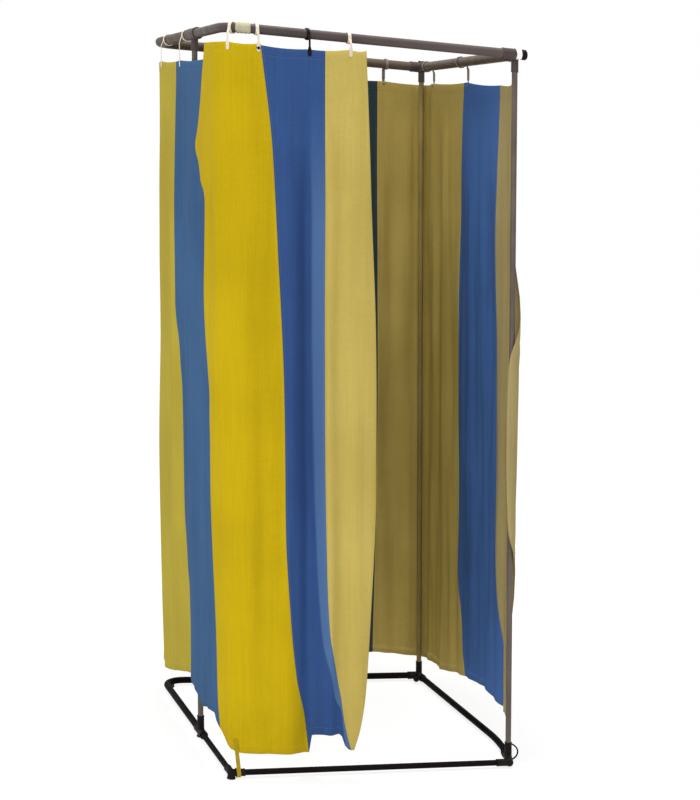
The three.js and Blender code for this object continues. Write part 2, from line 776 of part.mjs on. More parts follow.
// Where one stripe ends and the next begins, by height.
const leadEdgeShares = [
  [0, 0.605],
  [0.03, 0.586],
  [0.09, 0.562],
  [0.2, 0.543],
  [0.39, 0.524],
  [0.61, 0.528],
  [0.84, 0.547],
  [1, 0.562],
];
const sandBlueShares = [
  [0, 0.614],
  [0.035, 0.635],
  [0.09, 0.66],
  [0.155, 0.687],
  [0.25, 0.696],
  [0.455, 0.7],
  [1, 0.695],
];
const blueYellowShares = [
  [0, 0.744],
  [0.051, 0.758],
  [0.11, 0.791],
  [0.2, 0.812],
  [0.33, 0.827],
  [0.52, 0.83],
  [0.72, 0.846],
  [0.86, 0.862],
  [1, 0.898],
];
const yellowLeftShares = [
  [0, 1.058],
  [0.017, 1.064],
  [0.04, 1.07],
  [0.12, 1.082],
  [0.25, 1.102],
  [0.33, 1.122],
  [0.42, 1.124],
  [0.52, 1.165],
  [0.63, 1.182],
  [0.72, 1.168],
  [0.785, 1.16],
  [0.87, 1.3],
  [0.93, 1.24],
  [1, 1.19],
  [1.02, 1.17],
];
const leftKhakiShares = [
  [0, 1.43],
  [0.07, 1.448],
  [0.15, 1.475],
  [0.22, 1.512],
  [0.32, 1.54],
  [0.47, 1.548],
  [0.62, 1.606],
  [0.78, 1.6],
  [1, 1.57],
];
const khakiRearShares = [[0, 2.32]];
const rearKhakiShares = [
  [0, 2.82],
  [0.5, 2.837],
  [1, 2.835],
];
const khakiRightShares = [
  [0, 3.488],
  [0.1, 3.432],
  [0.3, 3.36],
  [0.66, 3.371],
  [0.81, 3.38],
  [0.92, 3.404],
  [1, 3.427],
];
const rightKhakiShares = [
  [0, 3.92],
  [0.05, 3.885],
  [0.11, 3.852],
  [0.2, 3.815],
  [0.32, 3.792],
  [0.56, 3.79],
  [0.67, 3.785],
  [0.86, 3.78],
  [1, 3.8],
];
const endEdgeShares = [
  [0, 3.984],
  [0.2, 3.984],
  [0.32, 4.022],
  [0.44, 4.03],
  [0.56, 4.022],
  [0.67, 3.984],
  [1, 3.984],
];

// Folds: station, spread along the route, depth outward as a share of the deepest fold.
const foldShares = [
  [0.52, 0.03, -0.4],
  [0.6, 0.03, 0.35],
  [0.685, 0.022, 0.55],
  [0.745, 0.03, -1],
  [0.815, 0.022, 0.3],
  [0.9, 0.03, -0.15],
  [1.2, 0.05, 0.25],
  [1.36, 0.05, 0.3],
  [1.52, 0.04, -0.3],
  [1.64, 0.05, 0.3],
  [1.8, 0.04, -0.2],
  [2.02, 0.06, 0.3],
  [2.2, 0.04, -0.4],
  [2.35, 0.05, 0.4],
  [2.5, 0.04, -0.35],
  [2.65, 0.05, 0.4],
  [2.78, 0.03, -0.35],
  [2.9, 0.03, 0.3],
  [3.13, 0.03, 0.3],
  [3.22, 0.03, -0.3],
  [3.36, 0.04, 0.3],
  [3.52, 0.04, -0.2],
  [3.68, 0.05, 0.25],
  [3.86, 0.02, 0.35],
  [3.92, 0.016, -0.3],
];
const FOLD_START = 0.25; // share of the drop over which the folds open below the hooks
const CUT_SPREAD = 0.18; // share of a side over which the cloth cuts the rear left corner
const EASE_SPREAD = 0.04; // share of a side over which the cloth swings round the rear right post
const DRAW_SPREAD = 0.13; // share of a side over which the cloth's end is drawn in to the front right post

// How much of the rear left corner the cloth cuts, by height.
const cutShares = [
  [0, 0.5],
  [0.3, 0.4],
  [0.5, 0.45],
  [0.7, 0.65],
  [0.86, 0.9],
  [1, 1],
];

// How far the cloth's end is drawn in to the front right post, by height. Between, it goes round the post.
const drawShares = [
  [0, 1],
  [0.11, 1],
  [0.2, 0],
  [0.67, 0],
  [0.77, 1],
  [1, 1],
];

// How far the cloth lies outside the route.
function reachOf(station, height) {
  const opening = smooth((1 - height) / FOLD_START);
  const folds = foldShares.reduce(
    (sum, [place, spread, depth]) => sum + depth * Math.exp(-(((station - place) / spread) ** 2)),
    0,
  );
  const corner = smooth(1 - Math.abs(station - 2) / CUT_SPREAD) * between(cutShares, height);
  const ease = smooth(1 - Math.abs(station - 3) / EASE_SPREAD);
  const draw = smooth(1 - (4 - station) / DRAW_SPREAD) * between(drawShares, height);
  const open = (CLOTH_REACH + folds * FOLD_DEPTH * opening) * (1 - draw);
  return open + REAR_RIGHT_EASE * ease - CORNER_CUT * corner;
}

function clothTop(station, shares = topDropShares) {
  return HIGH - between(shares, station) * TOP_HEM_DROP;
}

// The height at which a stripe with its own top edge ends, just over 1.
function ownTop(station, shares) {
  const hem = between(hemShares, station) * CURTAIN_TOP;
  return (clothTop(station, shares) - hem) / (clothTop(station) - hem);
}

function clothPoint(station, height) {
  const { place, outward } = routeAt(station);
  place.addScaledVector(outward, reachOf(station, height));
  const hem = between(hemShares, station) * CURTAIN_TOP;
  return at(place.x, place.y, hem + (clothTop(station) - hem) * height);
}

const ROW_SHARES = [0, 0.05, 0.11, 0.2, 0.32, 0.44, 0.56, 0.67, 0.77, 0.86, 0.93, 0.985, 1];
const PROBE = 0.004; // step for the cloth's slope, as a share

// The last stripe has finer rows and columns where its edge goes round the front right post.
const END_ROW_SHARES = [...ROW_SHARES, 0.24, 0.28, 0.38, 0.5, 0.6, 0.635].sort((a, b) => a - b);
const endTurn = { station: 3.975, column: 8 };

// The corner that a stripe goes round and the column that stays on it, or its end where it turns none.
function turnOf(startEdge, endEdge, columns) {
  const start = between(startEdge, 1 / 2);
  const end = between(endEdge, 1 / 2);
  const corner = Math.floor(end);
  if (corner <= start) return { station: Infinity, column: columns };
  return { station: corner, column: Math.max(1, Math.round(((corner - start) / (end - start)) * columns)) };
}

// Stations of a row's columns.
function rowStations(start, end, columns, turn) {
  const knee = Math.min(turn.station, end);
  return Array.from({ length: columns + 1 }, (_, i) => {
    if (i <= turn.column) return start + ((knee - start) * i) / turn.column;
    return knee + ((end - knee) * (i - turn.column)) / (columns - turn.column);
  });
}

// The middle of the cloth and its outward normal on a grid between two edges.
// A stripe with its own top edge has one row more.
function clothGrid(startEdge, endEdge, columns, { rows = ROW_SHARES, topShares, turn }) {
  const seam = SEAM_GAP / 2 / SIDE;
  const bend = turn ?? turnOf(startEdge, endEdge, columns);
  const heights = topShares ? [...rows, rows.length] : rows;
  return heights.map((row) => {
    const start = between(startEdge, row) + seam;
    const end = between(endEdge, row) - seam;
    return rowStations(start, end, columns, bend).map((station) => {
      const height = row > 1 ? ownTop(station, topShares) : row;
      const along = clothPoint(station + PROBE, height).sub(clothPoint(station - PROBE, height));
      const normal = new THREE.Vector3().crossVectors(Z, along).normalize();
      return { middle: clothPoint(station, height), normal };
    });
  });
}

// A sheet of cloth with its thickness, closed round its edges.
function clothSheet(grid) {
  const columns = grid[0].length;
  const count = grid.length * columns;
  const flat = grid.flat();
  const outer = flat.map(({ middle, normal }) => middle.clone().addScaledVector(normal, CLOTH / 2));
  const inner = flat.map(({ middle, normal }) => middle.clone().addScaledVector(normal, -CLOTH / 2));
  const faces = [];
  const quad = (a, b, c, d) => faces.push(a, b, c, a, c, d);
  for (let r = 0; r + 1 < grid.length; r++) {
    for (let c = 0; c + 1 < columns; c++) {
      const a = r * columns + c;
      quad(a, a + columns, a + columns + 1, a + 1);
      quad(a + count, a + 1 + count, a + columns + 1 + count, a + columns + count);
    }
    const left = r * columns;
    const right = left + columns - 1;
    quad(left, left + count, left + columns + count, left + columns);
    quad(right, right + columns, right + columns + count, right + count);
  }
  for (let c = 0; c + 1 < columns; c++) {
    const top = count - columns + c;
    quad(c, c + 1, c + 1 + count, c + count);
    quad(top, top + count, top + 1 + count, top + 1);
  }
  return indexed([...outer, ...inner], faces);
}

function stripe(name, startEdge, endEdge, columns, finish, options = {}) {
  return mesh(name, clothSheet(clothGrid(startEdge, endEdge, columns, options)), finish);
}

function curtain() {
  return [
    stripe("curtain_sand_front", leadEdgeShares, sandBlueShares, 8, sandCloth()),
    stripe("curtain_blue_front", sandBlueShares, blueYellowShares, 10, blueCloth()),
    stripe("curtain_yellow_corner", blueYellowShares, yellowLeftShares, 16, yellowCloth(), {
      topShares: yellowTopShares,
    }),
    stripe("curtain_blue_left", yellowLeftShares, leftKhakiShares, 10, blueCloth()),
    stripe("curtain_khaki_rear_left", leftKhakiShares, khakiRearShares, 16, khakiCloth()),
    stripe("curtain_blue_rear", khakiRearShares, rearKhakiShares, 12, blueCloth()),
    stripe("curtain_khaki_rear_right", rearKhakiShares, khakiRightShares, 18, khakiCloth()),
    stripe("curtain_blue_right", khakiRightShares, rightKhakiShares, 9, blueCloth()),
    stripe("curtain_khaki_front_right", rightKhakiShares, endEdgeShares, 12, khakiCloth(), {
      rows: END_ROW_SHARES,
      turn: endTurn,
    }),
  ];
}

// Hooks: a ring round the rail with a tab that carries the curtain's top hem on its outer face.
const TAB_REACH = CLOTH_REACH - CLOTH / 2 - TAB_GAP - TAB_THICKNESS / 2;

function hook(name, station, railRadius, finish) {
  const { place, heading } = routeAt(station);
  const ring = pipe(TAB_REACH, railRadius + HOOK_PLAY, HOOK_WIDTH, RING_SIDES);
  ring.translate(0, -HOOK_WIDTH / 2, 0).rotateZ(Math.PI / 2);
  const drop = HIGH - clothTop(station) + TAB_OVERLAP;
  const tab = block(HOOK_WIDTH, TAB_THICKNESS, drop, 0, TAB_REACH, -drop / 2);
  const made = bodyMesh(name, joined(solid(ring), solid(tab)), finish);
  made.position.set(place.x, place.y, HIGH);
  made.rotation.z = Math.atan2(heading.y, heading.x);
  return made;
}

// Stations of the hooks, in sides of the route.
const hookShares = [
  ["hook_front_lead", 0.613, TOP_FRONT_TUBE, palePlastic],
  ["hook_front_follower", 0.745, TOP_FRONT_TUBE, darkPlastic],
  ["hook_front_left", 0.906, TOP_FRONT_TUBE, palePlastic],
  ["hook_corner_front_left", 1, TOP_FRONT_TUBE, palePlastic],
  ["hook_left_front", 1 + (LEFT_POST_SETBACK + HOOK_SETBACK) / SIDE, TOP_TUBE, palePlastic],
  ["hook_left_rear", 1.795, TOP_TUBE, palePlastic],
  ["hook_rear_left", 2.21, TOP_TUBE, darkPlastic],
  ["hook_rear_middle", 2.53, TOP_TUBE, darkPlastic],
  ["hook_rear_right", 2.86, TOP_TUBE, darkPlastic],
  ["hook_right_rear", 3.07, TOP_TUBE, darkPlastic],
  ["hook_right_middle", 3.46, TOP_TUBE, darkPlastic],
];

function hooks() {
  return hookShares.map(([name, station, radius, finish]) => hook(name, station, radius, finish()));
}

// A stud through the yellow stripe's top hem, beside its hook.
function stud() {
  const [, station] = hookShares.find(([name]) => name === "hook_front_left");
  const { place, outward } = routeAt(station);
  const face = at(outward.x, outward.y, 0).multiplyScalar(CLOTH_REACH + CLOTH / 2 + FIT);
  const height = CURTAIN_TOP - TAB_OVERLAP / 2;
  const base = at(place.x, place.y, height).add(face);
  const head = base.clone().add(at(outward.x, outward.y, 0).multiplyScalar(STUD_HEIGHT));
  return mesh("curtain_stud", bar(STUD_RADIUS, base, head), darkPlastic());
}

// Ties at the base

// A strap sewn to the yellow hem and looped round the front left elbow's arm.
function strapFrontLeft() {
  const armRadius = BASE_ROD + FIT + SLEEVE_WALL;
  const x = STRAP_REACH - HALF;
  const halfWidth = STRAP_WIDTH / 2;
  const outer = armRadius + FIT + STRAP_THICKNESS;
  const loop = solid(bar(outer, at(x - halfWidth, -HALF, LOW), at(x + halfWidth, -HALF, LOW)));
  const holeStart = at(x - halfWidth - OVERRUN, -HALF, LOW);
  const hole = solid(bar(armRadius + FIT, holeStart, at(x + halfWidth + OVERRUN, -HALF, LOW)));
  const outline = new THREE.Shape([
    new THREE.Vector2(outer - STRAP_THICKNESS, 0),
    new THREE.Vector2(outer, 0),
    new THREE.Vector2(STRAP_HUG, STRAP_RISE),
    new THREE.Vector2(STRAP_HUG - STRAP_THICKNESS, STRAP_RISE),
  ]);
  const tail = new THREE.ExtrudeGeometry(outline, { depth: STRAP_WIDTH, bevelEnabled: false });
  // The outline's first axis is outward from the arm and its second is up.
  tail.rotateX(Math.PI / 2).rotateZ(-Math.PI / 2);
  tail.applyMatrix4(new THREE.Matrix4().makeShear(0, 0, 0, 0, -STRAP_LEAN / STRAP_RISE, 0));
  tail.translate(x + halfWidth, -HALF, LOW);
  return bodyMesh("tie_strap_front_left", joined(cut(loop, hole), solid(tail)), yellowCloth());
}

// A loose elastic loop round the right rail, behind the front right fitting.
function loopFrontRight() {
  const { x, y } = frontBendAt(FRONT_SLEEVE + LOOP_SETBACK);
  const angle = Math.asin((FRONT_BEND_START - y) / BASE_FRONT_BEND);
  const ring = new THREE.TorusGeometry(LOOP_RADIUS, LOOP_CORD, CORD_SIDES, RING_SIDES);
  const made = mesh("tie_loop_front_right", ring, darkPlastic());
  made.rotation.x = Math.PI / 2;
  const turned = new THREE.Group();
  turned.add(made);
  turned.rotation.z = -angle;
  const shift = at(Math.cos(angle) * LOOP_SHIFT, -Math.sin(angle) * LOOP_SHIFT, 0);
  turned.position.set(x, y, LOOP_RADIUS + LOOP_CORD + FIT).add(shift);
  return turned;
}

const fittingRoom = new THREE.Group();
const base = new THREE.Group();
const uprights = new THREE.Group();
const ring = new THREE.Group();
base.add(...baseTubes(), ...baseFittings(), ...glides(), clamp(), strapFrontLeft(), loopFrontRight());
uprights.add(...posts());
ring.add(...topTubes(), ...topFittings(), lid(), ...railEnd(), railBand());
ring.add(...hooks(), stud(), ...curtain());
fittingRoom.add(base, uprights, ring);

export default fittingRoom;
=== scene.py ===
import json
import math

import bmesh
import bpy
import numpy as np
from mathutils import Matrix, Vector

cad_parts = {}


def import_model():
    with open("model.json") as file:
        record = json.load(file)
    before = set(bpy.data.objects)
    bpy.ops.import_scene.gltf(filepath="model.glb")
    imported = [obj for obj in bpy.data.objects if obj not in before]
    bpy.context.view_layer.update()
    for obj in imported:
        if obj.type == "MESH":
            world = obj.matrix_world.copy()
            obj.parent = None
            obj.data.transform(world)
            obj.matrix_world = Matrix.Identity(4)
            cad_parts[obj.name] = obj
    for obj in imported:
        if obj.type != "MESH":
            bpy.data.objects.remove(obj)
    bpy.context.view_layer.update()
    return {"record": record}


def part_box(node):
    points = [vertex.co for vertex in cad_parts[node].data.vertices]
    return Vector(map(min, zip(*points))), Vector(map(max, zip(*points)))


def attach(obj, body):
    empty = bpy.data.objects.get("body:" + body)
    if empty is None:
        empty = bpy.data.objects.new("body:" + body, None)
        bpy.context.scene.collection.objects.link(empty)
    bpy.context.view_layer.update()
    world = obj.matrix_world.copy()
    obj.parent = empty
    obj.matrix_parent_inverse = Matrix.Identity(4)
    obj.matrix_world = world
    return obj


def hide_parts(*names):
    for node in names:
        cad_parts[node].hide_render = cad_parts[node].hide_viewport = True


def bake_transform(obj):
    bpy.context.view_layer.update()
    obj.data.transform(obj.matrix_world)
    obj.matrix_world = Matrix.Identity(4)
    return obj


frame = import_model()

RIGHT, BACK, UP = Vector((1, 0, 0)), Vector((0, 1, 0)), Vector((0, 0, 1))

# Sizes read from the frame


def middle(node, axis):
    low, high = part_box(node)
    return (low[axis] + high[axis]) / 2


def extent(node, axis):
    low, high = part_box(node)
    return high[axis] - low[axis]


BASE_TUBE = extent("base_rail_rear", 2) / 2
BASE_ROD = extent("base_rod_left", 2) / 2
POST = extent("post_left", 0) / 2
TOP_TUBE = extent("top_rail_rear", 2) / 2
TOP_FRONT_TUBE = extent("top_rail_front", 2) / 2
LOW = middle("base_rail_rear", 2)
HIGH = middle("top_rail_rear", 2)
HALF = middle("post_rear_right", 0)
LEFT_POST_Y = middle("post_left", 1)
FRONT_POST = Vector((middle("post_front_right", 0), middle("post_front_right", 1)))
POST_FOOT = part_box("post_left")[0][2]
POST_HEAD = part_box("post_left")[1][2]
FLOOR_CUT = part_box("base_tee_left")[0][2]
SOCKET_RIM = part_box("base_tee_left")[1][2]
TOP_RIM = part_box("top_tee_left")[0][2]
SIDE = HALF * 2

# Sizes of the looks
TUBE_WALL = 0.0015
BASE_REAR_BEND = 0.06
BASE_FRONT_BEND = 0.75
BASE_FRONT_TURN = math.pi / 9
TOP_REAR_BEND = 0.06
TOP_FRONT_BEND = 0.075
FIT = 0.0003
SLEEVE_WALL = 0.0018
SLEEVE_REACH = 0.038
BASE_SLEEVE = BASE_TUBE + FIT + SLEEVE_WALL
ROD_SLEEVE = BASE_ROD + FIT + SLEEVE_WALL
TOP_SLEEVE = TOP_TUBE + FIT + SLEEVE_WALL
SOCKET = POST + FIT + SLEEVE_WALL
RAIL_STOP = BASE_ROD + 0.002  # the right rail's end behind the front rod's centre line
BEAD = 0.0005  # raised bead at the mouth of a fitting
VOXEL = 0.0006
SIDES = 40
FEW_SIDES, MANY_SIDES, MOST_SIDES = 24, 48, 96
BEND_STEPS = 18

# The photograph's camera, in metres, radians and pixels of a picture 700 wide and 800 high
PHOTO_HEIGHT_PX = 800
CAMERA_PLACE = (-1.551, -4.875, 1.62)
CAMERA_YAW = -0.317
CAMERA_PITCH = -0.105
FOCAL_PX = 1763.8
CENTRE_Y_PX = 364.6
PHOTO_SKEW = 0.071  # the photograph's level lines slope by this much more than a true view's


# Meshes: a shell is a list of points and a list of faces


def surface(points, round_rows=False, round_columns=False):
    """A skin of quads over rows of points."""
    points = np.asarray(points, float)
    rows, columns = points.shape[:2]
    faces = []
    for r in range(rows if round_rows else rows - 1):
        for c in range(columns if round_columns else columns - 1):
            near, far = r * columns, (r + 1) % rows * columns
            step = (c + 1) % columns
            faces.append((near + c, near + step, far + step, far + c))
    return points.reshape(-1, 3), faces


def circle(count=SIDES):
    return np.linspace(0, 2 * math.pi, count, endpoint=False)


def lathe(profile, start, end, sides=SIDES, flutes=1.0, looped=False):
    """Turns (radius, distance) pairs round the line from start on. flutes scales each side's radius."""
    start = Vector(start)
    turn = (Vector(end) - start).to_track_quat("Z", "Y").to_matrix()
    x, y = np.cos(circle(sides)) * flutes, np.sin(circle(sides)) * flutes
    rows = []
    for radius, along in profile:
        ring = np.stack([x * radius, y * radius, np.full(sides, along)], 1)
        rows.append(ring @ np.array(turn).T + np.array(start))
    return surface(rows, round_rows=looped, round_columns=True)


def rounded(radius, length, edge, steps=4):
    """The profile of a solid bar whose ends are rounded by edge."""
    corner = np.linspace(0, math.pi / 2, steps)
    foot = [(radius - edge + edge * math.sin(a), edge - edge * math.cos(a)) for a in corner]
    head = [(r, length - z) for r, z in reversed(foot)]
    return [(0, 0), *foot, *head, (0, length)]


def bar(start, end, radius, edge=0.0008):
    return lathe(rounded(radius, (Vector(end) - Vector(start)).length, edge), start, end)


def ball(centre, radius):
    arc = np.linspace(0, math.pi, 16)
    profile = [(radius * math.sin(a), radius - radius * math.cos(a)) for a in arc]
    bottom = Vector(centre) - UP * radius
    return lathe(profile, bottom, bottom + UP)


def sleeve(start, end, radius):
    """A moulded sleeve with a bead at each mouth."""
    length = (Vector(end) - Vector(start)).length
    wide = radius + BEAD
    band = BEAD * 4
    side = [(radius, band * 1.4), (wide, band), (wide, BEAD), (wide - BEAD, 0)]
    profile = [(0, 0), *reversed(side), *[(r, length - z) for r, z in side], (0, length)]
    return lathe(profile, start, end)


def arm(corner, heading, radius):
    """A fitting's sleeve, from its corner along a heading."""
    return sleeve(corner, corner + heading * SLEEVE_REACH, radius)


def up(place, height):
    return Vector((place[0], place[1], height))


def well(place, foot, rim):
    """An upright socket, open at rim, round a post's end that stops at foot."""
    way = 1 if rim > foot else -1
    depth = abs(rim - foot)
    start = up(place, foot)
    bore, proud = POST + FIT, SOCKET + BEAD
    profile = [(bore, 0), (SOCKET, 0), (SOCKET, depth - BEAD * 5), (proud, depth - BEAD * 4)]
    profile += [(proud, depth - BEAD), (SOCKET, depth), (bore, depth)]
    return lathe(profile, start, start + UP * way, looped=True)


def box_shell(low, high):
    x0, y0, z0 = low
    x1, y1, z1 = high
    points = [(x, y, z) for z in (z0, z1) for x, y in ((x0, y0), (x1, y0), (x1, y1), (x0, y1))]
    faces = [(3, 2, 1, 0), (4, 5, 6, 7), (0, 1, 5, 4), (1, 2, 6, 5), (2, 3, 7, 6), (3, 0, 4, 7)]
    return np.array(points, float), faces


def rings_along(route, radius, sides=SIDES):
    """Upright rings along a level route, mitred where it turns."""
    route = np.asarray(route, float)
    before = np.vstack([route[:1] * 2 - route[1:2], route[:-1]])
    after = np.vstack([route[1:], route[-1:] * 2 - route[-2:-1]])
    into = (route - before) / np.linalg.norm(route - before, axis=1, keepdims=True)
    out = (after - route) / np.linalg.norm(after - route, axis=1, keepdims=True)
    heading = (into + out) / np.linalg.norm(into + out, axis=1, keepdims=True)
    across = np.cross(heading, (0, 0, 1))
    stretch = 1 / np.sqrt((1 + (into * out).sum(1)) / 2)
    angles = circle(sides)[None, :, None]
    radius = np.broadcast_to(radius, len(route))[:, None, None]
    side = np.cos(angles) * across[:, None] * stretch[:, None, None]
    return route[:, None] + radius * (side + np.sin(angles) * np.array((0, 0, 1)))


def tube(route, radius):
    """A tube with open ends: out along the wall and back along the bore."""
    outside = rings_along(route, radius)
    bore = rings_along(route, radius - TUBE_WALL)[::-1]
    return surface(np.vstack([outside, bore]), round_rows=True, round_columns=True)


def corner_route(start, corner, end, bend, height):
    """Points of a level route that turns a corner in a bend."""
    start, corner, end = (Vector((*p, height)) for p in (start, corner, end))
    back, on = (start - corner).normalized(), (end - corner).normalized()
    centre = corner + (back + on) * bend
    arc = [i / BEND_STEPS * math.pi / 2 for i in range(BEND_STEPS + 1)]
    return [start, *[centre - on * math.cos(a) * bend - back * math.sin(a) * bend for a in arc], end]


def front_bend(start, end, steps=BEND_STEPS):
    """Level points of the right rail's front bend between two distances behind the front rod."""
    behind = np.linspace(start, end, steps)
    along = BASE_FRONT_BEND * math.sin(BASE_FRONT_TURN) - behind
    x = HALF - BASE_FRONT_BEND + np.sqrt(BASE_FRONT_BEND ** 2 - along ** 2)
    return np.stack([x, behind - HALF, np.full(steps, LOW)], 1)


def capped(rings):
    """A closed skin over a row of rings, whose ends are drawn in to their middles."""
    start, end = (np.broadcast_to(np.mean(ring, 0), np.shape(ring)) for ring in (rings[0], rings[-1]))
    return surface([start, *rings, end], round_columns=True)


def joined(shells):
    points, faces, count = [], [], 0
    for shell_points, shell_faces in shells:
        points.append(shell_points)
        faces += [tuple(i + count for i in face) for face in shell_faces]
        count += len(shell_points)
    return np.vstack(points), faces


def mesh_of(name, shells):
    points, faces = joined(shells)
    mesh = bpy.data.meshes.new(name)
    mesh.from_pydata(points.tolist(), [], faces)
    work = bmesh.new()
    work.from_mesh(mesh)
    bmesh.ops.remove_doubles(work, verts=work.verts, dist=1e-6)
    bmesh.ops.dissolve_degenerate(work, edges=work.edges, dist=1e-7)
    bmesh.ops.recalc_face_normals(work, faces=work.faces)
    work.to_mesh(mesh)
    work.free()
    return mesh


def settled(piece):
    """Applies the piece's modifiers."""
    bpy.context.view_layer.update()
    shown = piece.evaluated_get(bpy.context.evaluated_depsgraph_get())
    mesh = bpy.data.meshes.new_from_object(shown)
    piece.modifiers.clear()
    piece.data = mesh


def smooth_shaded(mesh, angle=35):
    mesh.shade_smooth()
    mesh.set_sharp_from_angle(angle=math.radians(angle))


def linked(name, data):
    made = bpy.data.objects.new(name, data)
    bpy.context.scene.collection.objects.link(made)
    return made


def moulded(name, shells, voxel=VOXEL):
    """Shells fused into one skin with soft inner corners, as a moulding has."""
    piece = linked(name, mesh_of(name, shells))
    remesh = piece.modifiers.new("fuse", "REMESH")
    remesh.mode = "VOXEL"
    remesh.voxel_size = voxel
    soften = piece.modifiers.new("soften", "SMOOTH")
    soften.iterations = 5
    soften.factor = 0.5
    settled(piece)
    smooth_shaded(piece.data, 50)
    return piece


def turned(name, shells):
    piece = linked(name, mesh_of(name, shells))
    smooth_shaded(piece.data)
    return piece


def cover(piece, material, node):
    """Gives a piece its material, and lets it stand for its CAD node."""
    piece.data.materials.clear()
    piece.data.materials.append(material)
    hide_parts(node)
    return piece


def dress(node, kind, shells, material, body, make=turned):
    """Makes the piece that stands for a CAD node and lets it ride on the node's body."""
    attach(cover(make(f"{node}_{kind}", shells), material, node), body)


# Materials


def linear(code):
    """A colour written as sRGB hex, in linear light."""
    shares = [int(code[i:i + 2], 16) / 255 for i in (0, 2, 4)]
    return (*[s / 12.92 if s <= 0.04045 else ((s + 0.055) / 1.055) ** 2.4 for s in shares], 1)


class Nodes:
    """A node tree of a material or of the world."""

    def __init__(self, tree):
        self.tree = tree

    def feed(self, socket, value):
        if isinstance(value, str):
            value = linear(value)
        if isinstance(value, bpy.types.NodeSocket):
            self.tree.links.new(value, socket)
        else:
            socket.default_value = value

    def node(self, kind, inputs=None, output=0, **settings):
        made = self.tree.nodes.new("ShaderNode" + kind)
        for key, value in settings.items():
            setattr(made, key, value)
        for socket, value in (inputs or {}).items():
            self.feed(made.inputs[socket], value)
        return made.outputs[output]

    def math(self, operation, a, b=0.0, c=0.0):
        return self.node("Math", {0: a, 1: b, 2: c}, operation=operation)

    def times(self, a, b):
        return self.math("MULTIPLY", a, b)

    def most(self, a, b):
        return self.math("MAXIMUM", a, b)

    def noise(self, scale, detail, stretch=(1, 1, 1), roughness=0.5):
        """Noise with so many lumps a metre, more of them along the axes that are stretched."""
        place = self.node("TexCoord", output="Object")
        place = self.node("Mapping", {"Vector": place, "Scale": stretch})
        inputs = {"Vector": place, "Scale": scale, "Detail": detail, "Roughness": roughness}
        return self.node("TexNoise", inputs)

    def span(self, value, low, high, first=0.0, last=1.0):
        """value between low and high, spread from first to last."""
        inputs = {"Value": value, "From Min": low, "From Max": high, "To Min": first, "To Max": last}
        return self.node("MapRange", inputs, interpolation_type="SMOOTHSTEP")

    def mix(self, share, a, b):
        """Colour a, with a share of colour b."""
        return self.node("Mix", {0: share, 6: a, 7: b}, output=2, data_type="RGBA")

    def bump(self, height, distance, strength=1.0, normal=None):
        inputs = {"Height": height, "Distance": distance, "Strength": strength}
        if normal is not None:
            inputs["Normal"] = normal
        return self.node("Bump", inputs)

    def seen(self):
        """1 for the rays that carry a surface to the camera, straight, mirrored or through glass."""
        rays = self.node("LightPath", output="Is Camera Ray").node.outputs
        direct = self.most(rays["Is Camera Ray"], rays["Is Glossy Ray"])
        return self.most(direct, rays["Is Transmission Ray"])


class Paint(Nodes):
    """A material of a slot."""

    def __init__(self, slot):
        self.material = bpy.data.materials.new(slot + "_finish")
        self.material["slot"] = slot
        self.material.use_nodes = True
        super().__init__(self.material.node_tree)
        self.shader = self.tree.nodes["Principled BSDF"]

    def set(self, **values):
        for name, value in values.items():
            self.feed(self.shader.inputs[name.replace("_", " ")], value)
        return self.material


DUST = "b9b2a6"

# Depths of the fine relief
PEEL_DEPTH = 0.00012
SCRATCH_DEPTH = 0.0001
MOULD_GRAIN = 0.00015
RUBBER_GRAIN = 0.0004
TAPE_GRAIN = 0.0005
CREASE_DEPTH = 0.004
SLUB_DEPTH = 0.0004
WEAVE_DEPTH = 0.0002
STITCH_DEPTH = 0.0006


def enamel(name, colour, worn, rough, shine, dusty):
    """Stove enamel on steel tube: orange peel, handling marks, fine scratches and thin dust on top."""
    paint = Paint(name)
    cloud = paint.noise(9, 4)
    marks = paint.span(paint.noise(140, 5), 0.62, 0.74)
    scratches = paint.span(paint.noise(4, 2, (30, 30, 900)), 0.66, 0.7)
    edges = paint.span(paint.node("NewGeometry", output="Pointiness"), 0.54, 0.6)
    wear = paint.most(paint.times(marks, 0.25), paint.times(scratches, 0.35))
    wear = paint.most(wear, paint.times(edges, 0.5))
    shade = paint.mix(paint.span(cloud, 0.3, 0.7), colour[0], colour[1])
    upward = paint.node("SeparateXYZ", {0: paint.node("NewGeometry", output="Normal")}, output=2)
    patches = paint.span(paint.noise(60, 4), 0.35, 0.8, dusty / 6, dusty)
    dust = paint.times(paint.span(upward, 0.6, 1), patches)
    shade = paint.mix(dust, paint.mix(wear, shade, worn), DUST)
    roughness = paint.span(paint.noise(30, 4), 0.3, 0.7, rough - 0.07, rough + 0.1)
    roughness = paint.math("ADD", roughness, dust)
    peel = paint.bump(paint.noise(900, 2), PEEL_DEPTH, 0.35)
    normal = paint.bump(wear, SCRATCH_DEPTH, 0.6, peel)
    return paint.set(Base_Color=shade, Roughness=roughness, Normal=normal, Specular_IOR_Level=shine)


def plastic(name, colour, rough, grain=MOULD_GRAIN, shine=0.5):
    """Moulded plastic: fine grain, faint flow marks and scuffs in a third colour."""
    paint = Paint(name)
    cloud = paint.noise(25, 3)
    scuffs = paint.span(paint.noise(220, 4, (1, 1, 3)), 0.6, 0.75)
    shade = paint.mix(paint.span(cloud, 0.35, 0.7), colour[0], colour[1])
    shade = paint.mix(paint.times(scuffs, 0.3), shade, colour[2])
    roughness = paint.span(paint.noise(90, 3), 0.3, 0.7, rough - 0.08, rough + 0.12)
    normal = paint.bump(paint.noise(1800, 2), grain, 0.5)
    return paint.set(Base_Color=shade, Roughness=roughness, Normal=normal, Specular_IOR_Level=shine)


